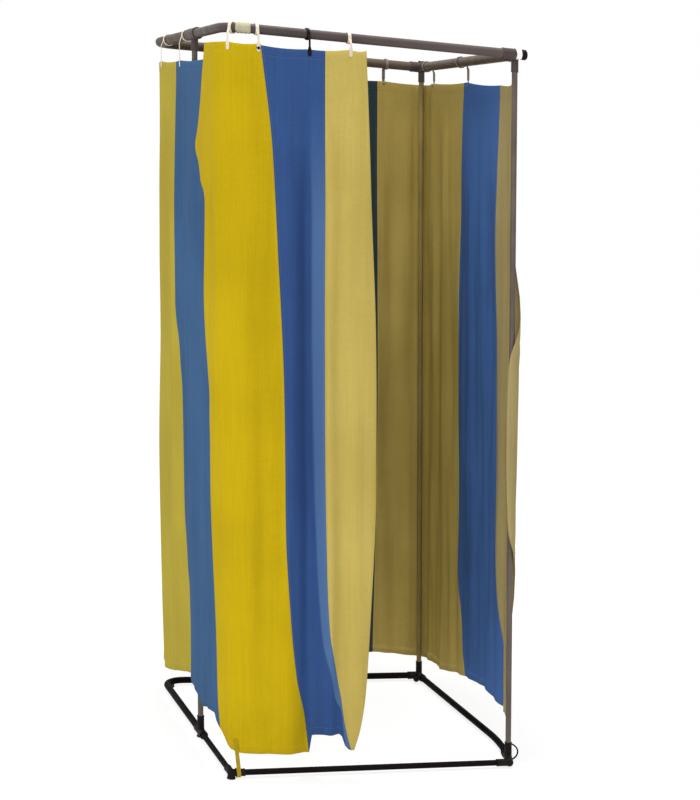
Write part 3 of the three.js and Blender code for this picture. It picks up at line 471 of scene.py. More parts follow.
def cloth(name, colour, shadow, thread, painted_highlight=None):
    """Plain woven cotton with slubs, creases, felled seams and stitched hems.

    The last colour, if given, paints a highlight: a paler band along its near side, where a fold turns to
    the light.
    """
    paint = Paint(name)
    near, far = (paint.node("SeparateXYZ", {0: paint.node("UVMap", uv_map=n)}) for n in ("near", "far"))
    left, bottom = near, near.node.outputs[1]
    right, top = far, far.node.outputs[1]
    weft, warp = (
        paint.math("SINE", paint.times(along, 2 * math.pi / THREAD_PITCH)) for along in (bottom, left)
    )
    weave = paint.math("MULTIPLY_ADD", paint.times(weft, warp), 0.5, 0.5)
    side = paint.math("MINIMUM", left, right)
    seam_row = stitch_row(paint, side, SEAM_STITCH, bottom)
    hem_row = stitch_row(paint, bottom, HEM_DEPTH - STITCH_INSET, left)
    head_row = stitch_row(paint, top, HEAD_DEPTH - STITCH_INSET, left)
    stitches = paint.most(seam_row, paint.most(hem_row, head_row))
    # Painted shade in the seam's groove: darker toward the shadow colour near a stripe's side.
    seam_groove_shade = paint.span(side, 0, SEAM_GROOVE, 1, 0)
    cloud = paint.noise(3.2, 3)
    slubs = paint.noise(1, 3, (55, 55, 900))
    streaks = paint.noise(1, 2, (420, 420, 2.5))
    tone = paint.math("ADD", paint.times(cloud, 0.5), paint.times(slubs, 0.3))
    tone = paint.math("ADD", tone, paint.times(streaks, 0.3))
    shade = paint.mix(paint.span(tone, 0.38, 0.75), shadow, colour)
    # Painted highlight: a paler band along the near side, fading out toward the top, where a fold turns to
    # the light.
    if painted_highlight:
        inset = paint.math("DIVIDE", left, paint.span(bottom, 0.1, 0.9, PAINTED_HIGHLIGHT_WIDTH * 0.55, PAINTED_HIGHLIGHT_WIDTH))
        band = paint.times(paint.span(inset, 0.7, 1, 1, 0), paint.span(top, 0.1, 0.5))
        shade = paint.mix(paint.times(band, 0.45), shade, painted_highlight)
    # Darkened toward the shadow colour: the weave, partly the threads' own tone and partly painted shade of
    # its relief; the seam's groove, painted shade. Stitches take the thread colour.
    for mark, share, tint in ((weave, 0.15, shadow), (seam_groove_shade, 0.45, shadow), (stitches, 0.7, thread)):
        shade = paint.mix(paint.times(mark, share), shade, tint)
    normal = paint.bump(paint.noise(14, 5, roughness=0.62), CREASE_DEPTH, 0.35)
    reliefs = ((slubs, SLUB_DEPTH, 0.5), (weave, WEAVE_DEPTH, 0.12), (stitches, STITCH_DEPTH, 0.8))
    for height, depth, strength in reliefs:
        normal = paint.bump(height, depth, strength, normal)
    roughness = paint.span(slubs, 0.3, 0.7, 0.82, 0.95)
    return paint.set(Base_Color=shade, Roughness=roughness, Normal=normal, Specular_IOR_Level=0.12)


def stitch_row(paint, across, line, along):
    """A row of stitches where across equals line, dashed along the seam."""
    off = paint.math("ABSOLUTE", paint.math("SUBTRACT", across, line))
    row = paint.span(off, STITCH_WIDTH * 0.5, STITCH_WIDTH, 1, 0)
    beat = paint.math("FRACT", paint.math("DIVIDE", along, STITCH_PITCH))
    dash = paint.span(paint.math("ABSOLUTE", paint.math("SUBTRACT", beat, 0.5)), 0.3, 0.4, 1, 0)
    return paint.times(row, dash)


# Cloth sizes
THREAD_PITCH = 0.0012
STITCH_PITCH = 0.004
STITCH_WIDTH = 0.0006
STITCH_INSET = 0.002
SEAM_STITCH = 0.0045
SEAM_GROOVE = 0.0012
SEAM_DEPTH = 0.007
HEM_DEPTH = 0.022
HEAD_DEPTH = 0.026
# Width of the painted highlight band.
PAINTED_HIGHLIGHT_WIDTH = 0.046
CLOTH_HALF = 0.0005  # half of the cloth's thickness
HEM_EXTRA = 0.0007  # by which a hem stands proud on each face

base_enamel = enamel("base_enamel", ("060404", "0c0808"), "1c1716", 0.6, 0.03, 0.004)
ring_enamel = enamel("ring_enamel", ("403837", "4a403f"), "625854", 0.5, 0.2, 0.01)
ring_shaded = enamel("ring_enamel", ("40342b", "4a3e34"), "665a4c", 0.5, 0.15, 0.01)
post_enamel = enamel("post_enamel", ("554c45", "62584f"), "7d7365", 0.5, 0.2, 0.01)
# A lighter, warmer copy of the post enamel for the rear right post: painted reflection of the khaki cloth
# round it.
post_rear_painted_reflection = enamel("post_enamel", ("7c6b3f", "887848"), "9a8a5e", 0.5, 0.15, 0.01)
dark_plastic = plastic("dark_plastic", ("0e0a0a", "151010", "2f2a28"), 0.6, shine=0.12)
hook_plastic = plastic("dark_plastic", ("6d6355", "7a7061", "8d8373"), 0.55, shine=0.2)
white_plastic = plastic("white_plastic", ("eeeae2", "f6f3ec", "cfc9bf"), 0.38)
pale_plastic = plastic("pale_plastic", ("d2c5b2", "ddd1bf", "b3a693"), 0.5)
glide_rubber = plastic("glide_rubber", ("151413", "1e1c1b", "3a3735"), 0.8, RUBBER_GRAIN)
elastic = plastic("elastic", ("0e0c0c", "171414", "34302e"), 0.75, RUBBER_GRAIN, 0.15)
tape = plastic("cloth_khaki", ("b0aa90", "a39c82", "c6c0ac"), 0.85, TAPE_GRAIN, 0.12)
cloth_sand = cloth("cloth_sand", "c0ac5d", "af9b4c", "d2c384")
cloth_khaki = cloth("cloth_khaki", "c0ab5f", "ae984f", "d0c088")
# A yellower copy of the khaki for the rear left stripe: painted light on the left side.
cloth_khaki_rear_left_painted_light = cloth("cloth_khaki", "b6a53a", "a3922e", "cbbd66")
# A greyer, darker copy of the khaki for the front right stripe: painted shade.
cloth_khaki_painted_shade = cloth("cloth_khaki", "aa9a66", "938459", "bdae7e")
# The front blue's last colour paints a highlight along its near side.
cloth_blue = cloth("cloth_blue", "355488", "2b4576", "607bab", "6485ae")
# A lighter, greyer copy of the blue for the left side: painted light.
cloth_blue_left_painted_light = cloth("cloth_blue", "3c5f88", "325176", "637fa4")
# A lighter copy of the blue for the right wall: painted light on its inner face.
cloth_blue_right_painted_light = cloth("cloth_blue", "456ba8", "3a5b92", "6f8cbc")
# A dark teal copy of the blue for the rear stripe: painted shade inside the booth.
cloth_blue_rear_painted_shade = cloth("cloth_blue", "34474d", "2b3b41", "56676e")
cloth_yellow = cloth("cloth_yellow", "c0a508", "ae9305", "d4c248")
# A darker copy of the yellow for the strap low by the base: painted shade.
strap_webbing_painted_shade = plastic("cloth_yellow", ("ad951b", "998216", "bca63c"), 0.85, TAPE_GRAIN, 0.12)

# Tubes


def bent_rail(node, way, bend, height, radius, material, body):
    """A rail from the left side to the right, round its bend at the rear or front left."""
    low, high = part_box(node)
    y = HALF * way
    route = corner_route((-HALF, (low if way > 0 else high)[1]), (-HALF, y), (high[0], y), bend, height)
    dress(node, "tube", [tube(route, radius)], material, body)


def dress_tubes():
    """The rails and rods as smooth tubes along the routes of their CAD nodes."""
    bent_rail("base_rail_rear", 1, BASE_REAR_BEND, LOW, BASE_TUBE, base_enamel, "base")
    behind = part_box("base_rail_right")[1][1]
    route = [(HALF, behind, LOW), *front_bend(BASE_FRONT_BEND * math.sin(BASE_FRONT_TURN), RAIL_STOP)]
    dress("base_rail_right", "tube", [tube(route, BASE_TUBE)], base_enamel, "base")
    for node, axis in (("base_rod_left", 1), ("base_rod_front", 0)):
        ends = [[-HALF, -HALF, LOW], [-HALF, -HALF, LOW]]
        for end, corner in zip(ends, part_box(node)):
            end[axis] = corner[axis]
        dress(node, "tube", [tube(ends, BASE_ROD)], base_enamel, "base")
    bent_rail("top_rail_rear", 1, TOP_REAR_BEND, HIGH, TOP_TUBE, ring_shaded, "ring")
    bent_rail("top_rail_front", -1, TOP_FRONT_BEND, HIGH, TOP_FRONT_TUBE, ring_enamel, "ring")
    rear, front = Vector((HALF, HALF, HIGH)), up(FRONT_POST, HIGH)
    inset = (front - rear).normalized() * TOP_TUBE
    dress("top_rail_right", "tube", [tube([rear + inset, front - inset], TOP_TUBE)], ring_shaded, "ring")


def post_piece(node, place):
    """A post: a thin tube with a pressed groove near each end and a rounded rim."""
    groove = 0.001
    length = POST_HEAD - POST_FOOT
    near_end = SOCKET_RIM - POST_FOOT + groove * 12
    outside = [(POST - groove, 0), (POST, groove)]
    for spot in (near_end, length - near_end):
        outside += [(POST, spot - groove * 2), (POST - groove * 0.6, spot), (POST, spot + groove * 2)]
    outside += [(POST, length - groove), (POST - groove, length)]
    bore = [(POST - TUBE_WALL - groove / 2, length), (POST - TUBE_WALL - groove / 2, 0)]
    foot = Vector((*place, POST_FOOT))
    # The rear right post takes the copy with the khaki cloth's reflection painted in.
    material = post_rear_painted_reflection if node == "post_rear_right" else post_enamel
    dress(node, "tube", [lathe(outside + bore, foot, foot + UP, looped=True)], material, "posts")


# Fittings


def socket_shells(place):
    """A base socket with its post's seat, down to the glide."""
    seat = POST_FOOT - FIT
    return [bar(up(place, FLOOR_CUT), up(place, seat), SOCKET), well(place, seat, SOCKET_RIM)]


def hanging_shells(place, top):
    """A top fitting's socket, round the post's head and up to top."""
    seat = POST_HEAD + FIT
    return [well(place, seat, TOP_RIM), bar(up(place, seat), up(place, top), SOCKET)]


CLAMP_BOSS_REACH = 0.009
CLAMP_BOSS_RADIUS = 0.0065
LID_SEAT = 0.002


def mould(node, shells):
    """A fitting of the base or the top ring, moulded in one piece."""
    at_base = node.startswith("base")
    look = (dark_plastic, "base") if at_base else (ring_enamel, "ring")
    dress(node, "moulding", shells, *look, moulded)


def base_fittings():
    tee = Vector((-HALF, LEFT_POST_Y, LOW))
    reach = BACK * SLEEVE_REACH
    shells = [sleeve(tee - reach, tee + reach, BASE_SLEEVE), *socket_shells(tee)]
    mould("base_tee_left", shells)

    elbow = Vector((-HALF, -HALF, LOW))
    shells = [arm(elbow, BACK, ROD_SLEEVE), arm(elbow, RIGHT, ROD_SLEEVE), ball(elbow, ROD_SLEEVE)]
    shells += [bar(up(elbow, FLOOR_CUT), elbow, ROD_SLEEVE)]
    mould("base_elbow_front_left", shells)

    rear = Vector((HALF, HALF, LOW))
    clamp = Vector((middle("clamp_screw", 0), HALF, LOW))
    boss_end = clamp - BACK * (BASE_SLEEVE + CLAMP_BOSS_REACH)
    shells = [arm(rear, -RIGHT, BASE_SLEEVE), arm(rear, -BACK, BASE_SLEEVE), ball(rear, BASE_SLEEVE)]
    shells += [bar(clamp, boss_end, CLAMP_BOSS_RADIUS), *socket_shells(rear)]
    mould("base_corner_rear_right", shells)

    front = Vector(front_bend(0, 0, 1)[0])
    rings = rings_along(front_bend(FRONT_POST.y + HALF + SLEEVE_REACH / 2, 0), BASE_SLEEVE)
    shells = [capped(rings), ball(front, BASE_SLEEVE), arm(front, -RIGHT, ROD_SLEEVE)]
    shells += socket_shells(FRONT_POST)
    mould("base_corner_front_right", shells)


def top_fittings():
    tee = Vector((-HALF, LEFT_POST_Y, HIGH))
    reach = BACK * SLEEVE_REACH
    shells = [sleeve(tee - reach, tee + reach, TOP_SLEEVE), *hanging_shells(tee, HIGH)]
    mould("top_tee_left", shells)

    rear = Vector((HALF, HALF, HIGH))
    front = up(FRONT_POST, HIGH)
    heading = (front - rear).normalized()
    shells = [arm(rear, -RIGHT, TOP_SLEEVE), arm(rear, heading, TOP_SLEEVE), ball(rear, TOP_SLEEVE)]
    shells += hanging_shells(rear, HIGH + TOP_SLEEVE + LID_SEAT)
    mould("top_corner_rear_right", shells)

    rail_end = Vector((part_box("top_rail_front")[1][0], -HALF, HIGH))
    cap = extent("top_end_cap", 2) / 2
    web_start = rail_end.x - TOP_TUBE * 2
    low, high = HIGH - TOP_TUBE / 2, HIGH + TOP_TUBE / 2
    shells = [arm(rail_end, -RIGHT, TOP_FRONT_TUBE + FIT + SLEEVE_WALL), arm(front, -heading, TOP_SLEEVE)]
    shells += [ball(front, TOP_SLEEVE), *hanging_shells(front, HIGH)]
    shells += [box_shell((web_start, -HALF, low), (rail_end.x, front.y, high))]
    shells += [box_shell((web_start, cap + FIT - HALF, low), (front.x, front.y, high))]
    mould("top_corner_front_right", shells)


# Small parts


GLIDE_MOST = 0.004  # height above which a glide's edges stay as they are
THREAD_ROWS = 180
SCREW_PITCH = 0.0012
THREAD_DEPTH = SCREW_PITCH * 0.3
FLUTES, FLUTE_DEPTH = 8, 0.1
COLLAR_EDGE, CAP_EDGE, CAP_GROOVE = 0.0015, 0.005, 0.0008


def turned_piece(node, kind, profile, heading, material, body, sides=MANY_SIDES, flutes=1.0):
    """A part turned along a heading, from the near face of its node's box."""
    axis = int(np.argmax(np.abs(heading)))
    start = Vector([middle(node, i) for i in range(3)])
    start[axis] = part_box(node)[0 if heading[axis] > 0 else 1][axis]
    dress(node, kind, [lathe(profile, start, start + heading, sides, flutes)], material, body)


def glide_piece(node):
    """A rubber glide with a rounded tread and a groove round its side."""
    radius, height = extent(node, 0) / 2, extent(node, 2)
    edge = min(height, GLIDE_MOST) / 4
    groove = height / 2
    profile = [(0, edge / 2), (radius * 0.5, edge / 2), (radius * 0.56, 0), (radius - edge, 0)]
    profile += [(radius, edge), (radius, groove - edge / 2), (radius - edge / 2, groove)]
    profile += [(radius, groove + edge / 2), (radius, height - edge), (radius - edge, height), (0, height)]
    turned_piece(node, "rubber", profile, UP, glide_rubber, "base")


def clamp_pieces():
    """The clamp's threaded screw and its fluted knob."""
    low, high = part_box("clamp_screw")
    x, radius = middle("clamp_screw", 0), extent("clamp_screw", 0) / 2
    angles = circle(FEW_SIDES)
    along = np.linspace(high[1], low[1], THREAD_ROWS)[:, None]
    phase = (along / SCREW_PITCH + angles / (2 * math.pi)) % 1
    depth = radius - np.abs(phase - 0.5) * THREAD_DEPTH * 2
    around = [x + depth * np.cos(angles), np.repeat(along, FEW_SIDES, 1), LOW + depth * np.sin(angles)]
    tips = [np.broadcast_to((x, end, LOW), (1, FEW_SIDES, 3)) for end in (high[1], low[1])]
    shell = surface(np.vstack([tips[0], np.stack(around, 2), tips[1]]), round_columns=True)
    dress("clamp_screw", "thread", [shell], base_enamel, "clamp")

    radius, length = extent("clamp_knob", 0) / 2, extent("clamp_knob", 1)
    neck, edge = radius * 0.5, radius * 0.15
    profile = [(0, 0), (neck, 0), (radius * 0.8, length * 0.22), (radius, length * 0.36)]
    profile += [(radius, length * 0.7), (radius - edge, length * 0.86), (neck, length * 0.97), (0, length)]
    flutes = 1 - FLUTE_DEPTH * np.maximum(0, np.cos(circle(MOST_SIDES) * FLUTES)) ** 2
    turned_piece("clamp_knob", "fluted", profile, -BACK, dark_plastic, "clamp", MOST_SIDES, flutes)


def rail_end_pieces():
    """The white collar and the black rounded cap on the front rail's right end."""
    ends = [("top_end_collar", white_plastic, COLLAR_EDGE), ("top_end_cap", dark_plastic, CAP_EDGE)]
    for node, material, edge in ends:
        radius, length = extent(node, 2) / 2, extent(node, 0)
        profile = rounded(radius, length, edge, 7)
        dip = radius - CAP_GROOVE
        ring = [(radius, length * 0.3), (dip, length * 0.34), (dip, length * 0.38), (radius, length * 0.42)]
        turned_piece(node, "turned", profile[:8] + ring + profile[8:], RIGHT, material, "ring")


def lid_piece():
    node = "top_lid_rear_right"
    radius, height = extent(node, 0) / 2, extent(node, 2)
    arc = np.linspace(0, math.pi / 2, 8)
    profile = [(0, 0), (radius * 0.94, 0), (radius, height * 0.1)]
    profile += [(radius * math.cos(a), height * (0.45 + 0.55 * math.sin(a))) for a in arc]
    turned_piece(node, "dome", profile, UP, pale_plastic, "ring")


BAND_WIDTH = 0.034
BAND_PLACE = 0.031  # along the front rail from the middle of its bend
BAND_TURNS = 3
BAND_WALL = 0.0013
BAND_ROWS = 90


def band_piece():
    """A cloth tape wound three times round the front left bend, each turn over the edge of the last."""
    share = np.linspace(0, 1, BAND_ROWS)
    angle = math.pi / 4 + (BAND_PLACE + (share - 0.5) * BAND_WIDTH) / TOP_FRONT_BEND
    centre = TOP_FRONT_BEND - HALF
    arc = [centre - np.cos(angle) * TOP_FRONT_BEND, centre - np.sin(angle) * TOP_FRONT_BEND]
    route = np.stack([*arc, np.full(BAND_ROWS, HIGH)], 1)
    unit = rings_along(route, 1.0) - route[:, None]
    phase = (share[:, None] * BAND_TURNS + circle() / (2 * math.pi)) % 1
    radius = TOP_FRONT_TUBE + FIT + BAND_WALL * (0.35 + 0.65 * phase)
    outside = route[:, None] + unit * radius[..., None]
    inside = (route[:, None] + unit * (TOP_FRONT_TUBE + FIT / 2))[::-1]
    shell = surface(np.vstack([outside, inside]), round_rows=True, round_columns=True)
    dress("rail_band", "tape", [shell], tape, "ring")


# The route round the frame, counted in sides: 0 to 1 the front from right to left,
# then the left, back and right
POST_TURN = 0.014
CLOTH_REACH = 0.021
ROUTE_CORNERS = [
    (HALF, -HALF), (-HALF, -HALF), (-HALF, HALF), (HALF, HALF), tuple(FRONT_POST), (-HALF, FRONT_POST.y),
]
ROUTE_BENDS = [0, TOP_FRONT_BEND, TOP_REAR_BEND, POST_TURN, POST_TURN, 0]


def route_at(station):
    """Place on the route, heading and outward direction at a station."""
    corners = [Vector(c) for c in ROUTE_CORNERS]
    index = min(int(station), len(corners) - 2)
    near = round(station)
    side = corners[index + 1] - corners[index]
    place = corners[index] + side * (station - index)
    heading = side.normalized()
    if 0 < near < len(corners) - 1:
        before, after = corners[near] - corners[near - 1], corners[near + 1] - corners[near]
        turn = before.angle(after)
        reach = ROUTE_BENDS[near] * math.tan(turn / 2)
        along = (station - near) * (before if station < near else after).length
        if abs(along) < reach:
            angle = (along / reach + 1) / 2 * turn
            into = before.normalized()
            inward = Vector((into.y, -into.x))
            bend = ROUTE_BENDS[near]
            place = corners[near] + into * (math.sin(angle) * bend - reach)
            place += inward * (1 - math.cos(angle)) * bend
            heading = into * math.cos(angle) + inward * math.sin(angle)
    return place, heading, Vector((-heading.y, heading.x))


ROUTE_START, ROUTE_END, ROUTE_STEP = 0.3, 4.2, 0.0005
route_keys = np.arange(ROUTE_START, ROUTE_END, ROUTE_STEP)
route_rows = np.array([(*place, *outward) for place, _, outward in map(route_at, route_keys)])


def curve(pairs):
    """A smooth curve through (key, value) pairs, which doesn't overshoot them."""
    keys, values = np.array(pairs, float).T
    if len(keys) == 1:
        return lambda at: np.full_like(at, values[0])
    width = np.diff(keys)
    slope = np.diff(values) / width
    tangent = np.concatenate([slope[:1], np.zeros(len(keys) - 2), slope[-1:]])
    same = slope[:-1] * slope[1:] > 0
    near, far = (2 * width[1:] + width[:-1])[same], (width[1:] + 2 * width[:-1])[same]
    tangent[1:-1][same] = (near + far) / (near / slope[:-1][same] + far / slope[1:][same])

    def value(at):
        at = np.clip(at, keys[0], keys[-1])
        i = np.clip(np.searchsorted(keys, at) - 1, 0, len(width) - 1)
        t = (at - keys[i]) / width[i]
        start = values[i] * (1 + 2 * t) * (1 - t) ** 2 + tangent[i] * width[i] * t * (1 - t) ** 2
        end = values[i + 1] * t * t * (3 - 2 * t) + tangent[i + 1] * width[i] * t * t * (t - 1)
        return start + end

    return value


# Drop of the cloth's top edge below the rail by station, as a share of its drop at the front
TOP_HEM_DROP = 0.04
CURTAIN_TOP = HIGH - TOP_HEM_DROP
top_drop_shares = [
    (0.5, 0.7), (0.64, 0.8), (0.74, 1), (1.04, 1), (1.19, 1.88), (1.38, 1.85), (1.53, 1.75), (1.8, 1.58),
    (2.3, 1.44), (3.05, 1.25), (3.45, 1.42), (3.79, 1.85), (4.1, 1.9),
]

# The same for the yellow stripe, whose left corner stands over its neighbour
yellow_top_shares = [(0.86, 0.94), (1.2, 0.92)]

# Height of the hem by station, as a share of the top edge's height at the front
hem_shares = [
    (0.6, 0.04), (0.618, 0.039), (0.632, 0.044), (0.645, 0.062), (0.7, 0.062), (0.735, 0.058),
    (0.742, 0.033), (0.8, 0.036), (0.98, 0.037), (1.01, 0.041), (1.06, 0.064), (1.1, 0.08),
    (1.2, 0.074), (1.27, 0.066), (1.33, 0.08), (1.47, 0.089), (1.6, 0.076), (1.8, 0.052),
    (2.3, 0.05), (2.84, 0.046), (3, 0.038), (3.22, 0.045), (3.49, 0.067), (3.67, 0.073),
    (3.83, 0.067), (3.98, 0.066),
]

# Where one stripe ends and the next begins, by height
lead_edge_shares = [
    (0, 0.605), (0.03, 0.586), (0.09, 0.562), (0.2, 0.543), (0.39, 0.524), (0.61, 0.528), (0.84, 0.547),
    (1, 0.562),
]
sand_blue_shares = [
    (0, 0.614), (0.035, 0.635), (0.09, 0.66), (0.155, 0.687), (0.25, 0.696), (0.455, 0.7), (1, 0.695),
]
blue_yellow_shares = [
    (0, 0.744), (0.051, 0.758), (0.11, 0.791), (0.2, 0.812), (0.33, 0.827), (0.52, 0.83), (0.72, 0.846),
    (0.86, 0.862), (1, 0.898),
]
yellow_left_shares = [
    (0, 1.058), (0.017, 1.064), (0.04, 1.07), (0.12, 1.082), (0.25, 1.102), (0.33, 1.122), (0.42, 1.124),
    (0.52, 1.165), (0.63, 1.182), (0.72, 1.168), (0.785, 1.16), (0.87, 1.3), (0.93, 1.24), (1, 1.19),
    (1.02, 1.17),
]
left_khaki_shares = [
    (0, 1.43), (0.07, 1.448), (0.15, 1.475), (0.22, 1.512), (0.32, 1.54), (0.47, 1.548), (0.62, 1.606),
    (0.78, 1.6), (1, 1.57),
]
khaki_rear_shares = [(0, 2.32)]
rear_khaki_shares = [(0, 2.82), (0.5, 2.837), (1, 2.835)]
khaki_right_shares = [
    (0, 3.488), (0.1, 3.432), (0.3, 3.36), (0.66, 3.371), (0.81, 3.38), (0.92, 3.404), (1, 3.427),
]
right_khaki_shares = [
    (0, 3.92), (0.05, 3.885), (0.11, 3.852), (0.2, 3.815), (0.32, 3.792), (0.56, 3.79), (0.67, 3.785),
    (0.86, 3.78), (1, 3.8),
]
end_edge_shares = [
    (0, 3.984), (0.2, 3.984), (0.32, 4.022), (0.44, 4.03), (0.56, 4.022), (0.67, 3.984), (1, 3.984),
]

# Folds: station, spread along the route, depth outward as a share of the deepest fold
fold_shares = [
    (0.52, 0.03, -0.4), (0.6, 0.03, 0.35), (0.685, 0.022, 0.55), (0.745, 0.03, -1), (0.815, 0.022, 0.3),
    (0.9, 0.03, -0.15), (1.2, 0.05, 0.25), (1.36, 0.05, 0.3), (1.52, 0.04, -0.3), (1.64, 0.05, 0.3),
    (1.8, 0.04, -0.2), (2.02, 0.06, 0.3), (2.2, 0.04, -0.4), (2.35, 0.05, 0.4), (2.5, 0.04, -0.35),
    (2.65, 0.05, 0.4), (2.78, 0.03, -0.35), (2.9, 0.03, 0.3), (3.13, 0.03, 0.3), (3.22, 0.03, -0.3),
    (3.36, 0.04, 0.3), (3.52, 0.04, -0.2), (3.68, 0.05, 0.25), (3.86, 0.02, 0.35), (3.92, 0.016, -0.3),
]
FOLD_DEPTH = 0.026
FOLD_START = 0.25
CORNER_CUT = 0.034
CUT_SPREAD = 0.18
REAR_RIGHT_EASE = 0.008
EASE_SPREAD = 0.04
DRAW_SPREAD = 0.13

# How far the cloth's end is drawn in to the front right post, by height
draw_shares = [(0, 1), (0.11, 1), (0.2, 0), (0.67, 0), (0.77, 1), (1, 1)]

# How much of the rear left corner the cloth cuts, by height
cut_shares = [(0, 0.5), (0.3, 0.4), (0.5, 0.45), (0.7, 0.65), (0.86, 0.9), (1, 1)]

# Ripples of the hanging cloth: length along the route, length down the drop, depth, start
ripple_sizes = [
    (0.118, 2.7, 0.0021, 0.4), (0.071, -1.9, 0.0014, 1.9), (0.046, 1.1, 0.0008, 3.3),
    (0.21, 0.9, 0.0016, 5.1), (0.16, -0.55, 0.0009, 2.2),
]
HOOK_SAG = 0.004  # of the top edge between hooks

hook_shares = [
    ("hook_front_lead", 0.613), ("hook_front_follower", 0.745), ("hook_front_left", 0.906),
    ("hook_corner_front_left", 1), ("hook_left_front", 1.511), ("hook_left_rear", 1.795),
    ("hook_rear_left", 2.21), ("hook_rear_middle", 2.53), ("hook_rear_right", 2.86),
    ("hook_right_rear", 3.07), ("hook_right_middle", 3.46),
]
held_stations = np.array([0.562, *[station for _, station in hook_shares], 3.8, 3.984])


def smooth(t):
    t = np.clip(t, 0, 1)
    return t * t * (3 - 2 * t)


def table_at(table, key):
    keys, values = np.array(table).T
    return np.interp(key, keys, values)


def reach_of(station, height):
    """How far the cloth lies outside the route."""
    opening = smooth((1 - height) / FOLD_START)
    folds = sum(
        depth * np.exp(-(((station - place) / spread) ** 2))
        for place, spread, depth in fold_shares
    )
    corner = smooth(1 - np.abs(station - 2) / CUT_SPREAD) * table_at(cut_shares, height)
    ease = smooth(1 - np.abs(station - 3) / EASE_SPREAD)
    along, down = station * SIDE, height * CURTAIN_TOP
    ripples = sum(
        depth * np.sin(2 * math.pi * (along / length + down / drop) + start)
        for length, drop, depth, start in ripple_sizes
    )
    draw = smooth(1 - (4 - station) / DRAW_SPREAD) * table_at(draw_shares, height)
    reach = (CLOTH_REACH + (folds * FOLD_DEPTH + ripples) * opening) * (1 - draw)
    return reach - CORNER_CUT * corner + REAR_RIGHT_EASE * ease


def sag_at(station):
    """How far the top edge has sunk between its hooks."""
    i = np.clip(np.searchsorted(held_stations, station) - 1, 0, len(held_stations) - 2)
    start, end = held_stations[i], held_stations[i + 1]
    share = np.clip((station - start) / (end - start), 0, 1)
    return HOOK_SAG * 4 * share * (1 - share)


def cloth_top(station, table=top_drop_shares):
    return HIGH - table_at(table, station) * TOP_HEM_DROP


def own_top(station, table):
    """The height at which a stripe with its own top edge ends, just over 1."""
    hem = table_at(hem_shares, station) * CURTAIN_TOP
    return (cloth_top(station, table) - hem) / (cloth_top(station) - hem)


def cloth_point(station, height):
    x, y, across, up_y = (np.interp(station, route_keys, column) for column in route_rows.T)
    reach = reach_of(station, height)
    hem = table_at(hem_shares, station) * CURTAIN_TOP
    top = cloth_top(station) - sag_at(station)
    return np.stack([x + across * reach, y + up_y * reach, hem + (top - hem) * height], -1)


def fine_ends(count, length, breaks):
    """Shares from 0 to 1 in even steps, with extra ones at the given distances from each end."""
    start, end = breaks
    inner = np.linspace(start[-1] * 1.3 / length, 1 - end[-1] * 1.3 / length, count)
    return np.concatenate([[0], np.array(start) / length, inner, 1 - np.array(end)[::-1] / length, [1]])


def lengths(points, axis):
    """Distance along each row or column of points from its start."""
    steps = np.linalg.norm(np.diff(points, axis=axis), axis=-1)
    zero = np.zeros_like(np.take(steps, [0], axis=axis))
    return np.concatenate([zero, np.cumsum(steps, axis=axis)], axis=axis)


CLOTH_STEP = 0.009
CLOTH_ROWS = 120
CLOTH_LENGTH = CURTAIN_TOP * 0.94
EDGE_STEP = 0.0006  # from a stripe's edge to its first column of points
HEM_STEP = 0.001  # over which a hem's double cloth ends
SEAM_STEP = 0.0005
RIM_STEP = 0.0008  # over which the cloth thins to its edge
RIM_SHARE = 0.35  # of the cloth's thickness, at its very edge
OWN_TOP_SHARE = 0.1  # of a stripe's height, over which its own top edge shapes it


def doubled(distance, depth, step):
    """1 within depth of an edge, where the cloth is turned over, and 0 beyond."""
    return 1 - smooth((distance - depth + step) / step)


def stripe_piece(node, start_edge, end_edge, material, tops=None):
    """One stripe of the curtain: a thin closed sheet with hems, felled edges, folds and ripples."""
    start, end = curve(start_edge), curve(end_edge)
    breaks = [(HEM_STEP, depth - HEM_STEP, depth) for depth in (HEM_DEPTH, HEAD_DEPTH)]
    rows = fine_ends(CLOTH_ROWS, CLOTH_LENGTH, breaks)
    width = float((end(rows) - start(rows)).mean()) * SIDE
    seam = (EDGE_STEP, SEAM_DEPTH - SEAM_STEP, SEAM_DEPTH)
    columns = fine_ends(max(8, int(width / CLOTH_STEP)), width, (seam, seam))
    height = np.repeat(rows[:, None], len(columns), 1)
    if tops:
        last = start(height) + (end(height) - start(height)) * columns
        rise = smooth((height - 1 + OWN_TOP_SHARE) / OWN_TOP_SHARE)
        height *= 1 + (own_top(last[-1], tops) - 1) * rise
    station = start(height) + (end(height) - start(height)) * columns
    points = cloth_point(station, height)
    across, down = lengths(points, 1), lengths(points, 0)
    from_right, from_top = across[:, -1:] - across, down[-1:] - down
    slope_x, slope_z = np.gradient(points, axis=1), np.gradient(points, axis=0)
    normal = np.cross(slope_z, slope_x)
    normal /= np.linalg.norm(normal, axis=-1, keepdims=True)
    side = np.minimum(across, from_right)
    hems = doubled(down, HEM_DEPTH, HEM_STEP) + doubled(from_top, HEAD_DEPTH, HEM_STEP)
    thick = CLOTH_HALF + HEM_EXTRA * (hems + doubled(side, SEAM_DEPTH, SEAM_STEP) / 2)
    rim = np.minimum(side, np.minimum(down, from_top))
    thick *= RIM_SHARE + (1 - RIM_SHARE) * smooth(rim / RIM_STEP)
    outside = points + normal * thick[..., None]
    inside = points - normal * thick[..., None]
    piece = cloth_sheet(node + "_cloth", outside, inside, (across, down), (from_right, from_top))
    cover(piece, material, node)
    steps = np.linalg.norm(np.cross(slope_x, slope_z), axis=-1)
    area = float(steps[1:-1, 1:-1].sum() + (steps[[0, -1]].sum() + steps[:, [0, -1]].sum()) / 2)
    return piece, (float(across[:, -1].max()), float(down[-1].max())), area


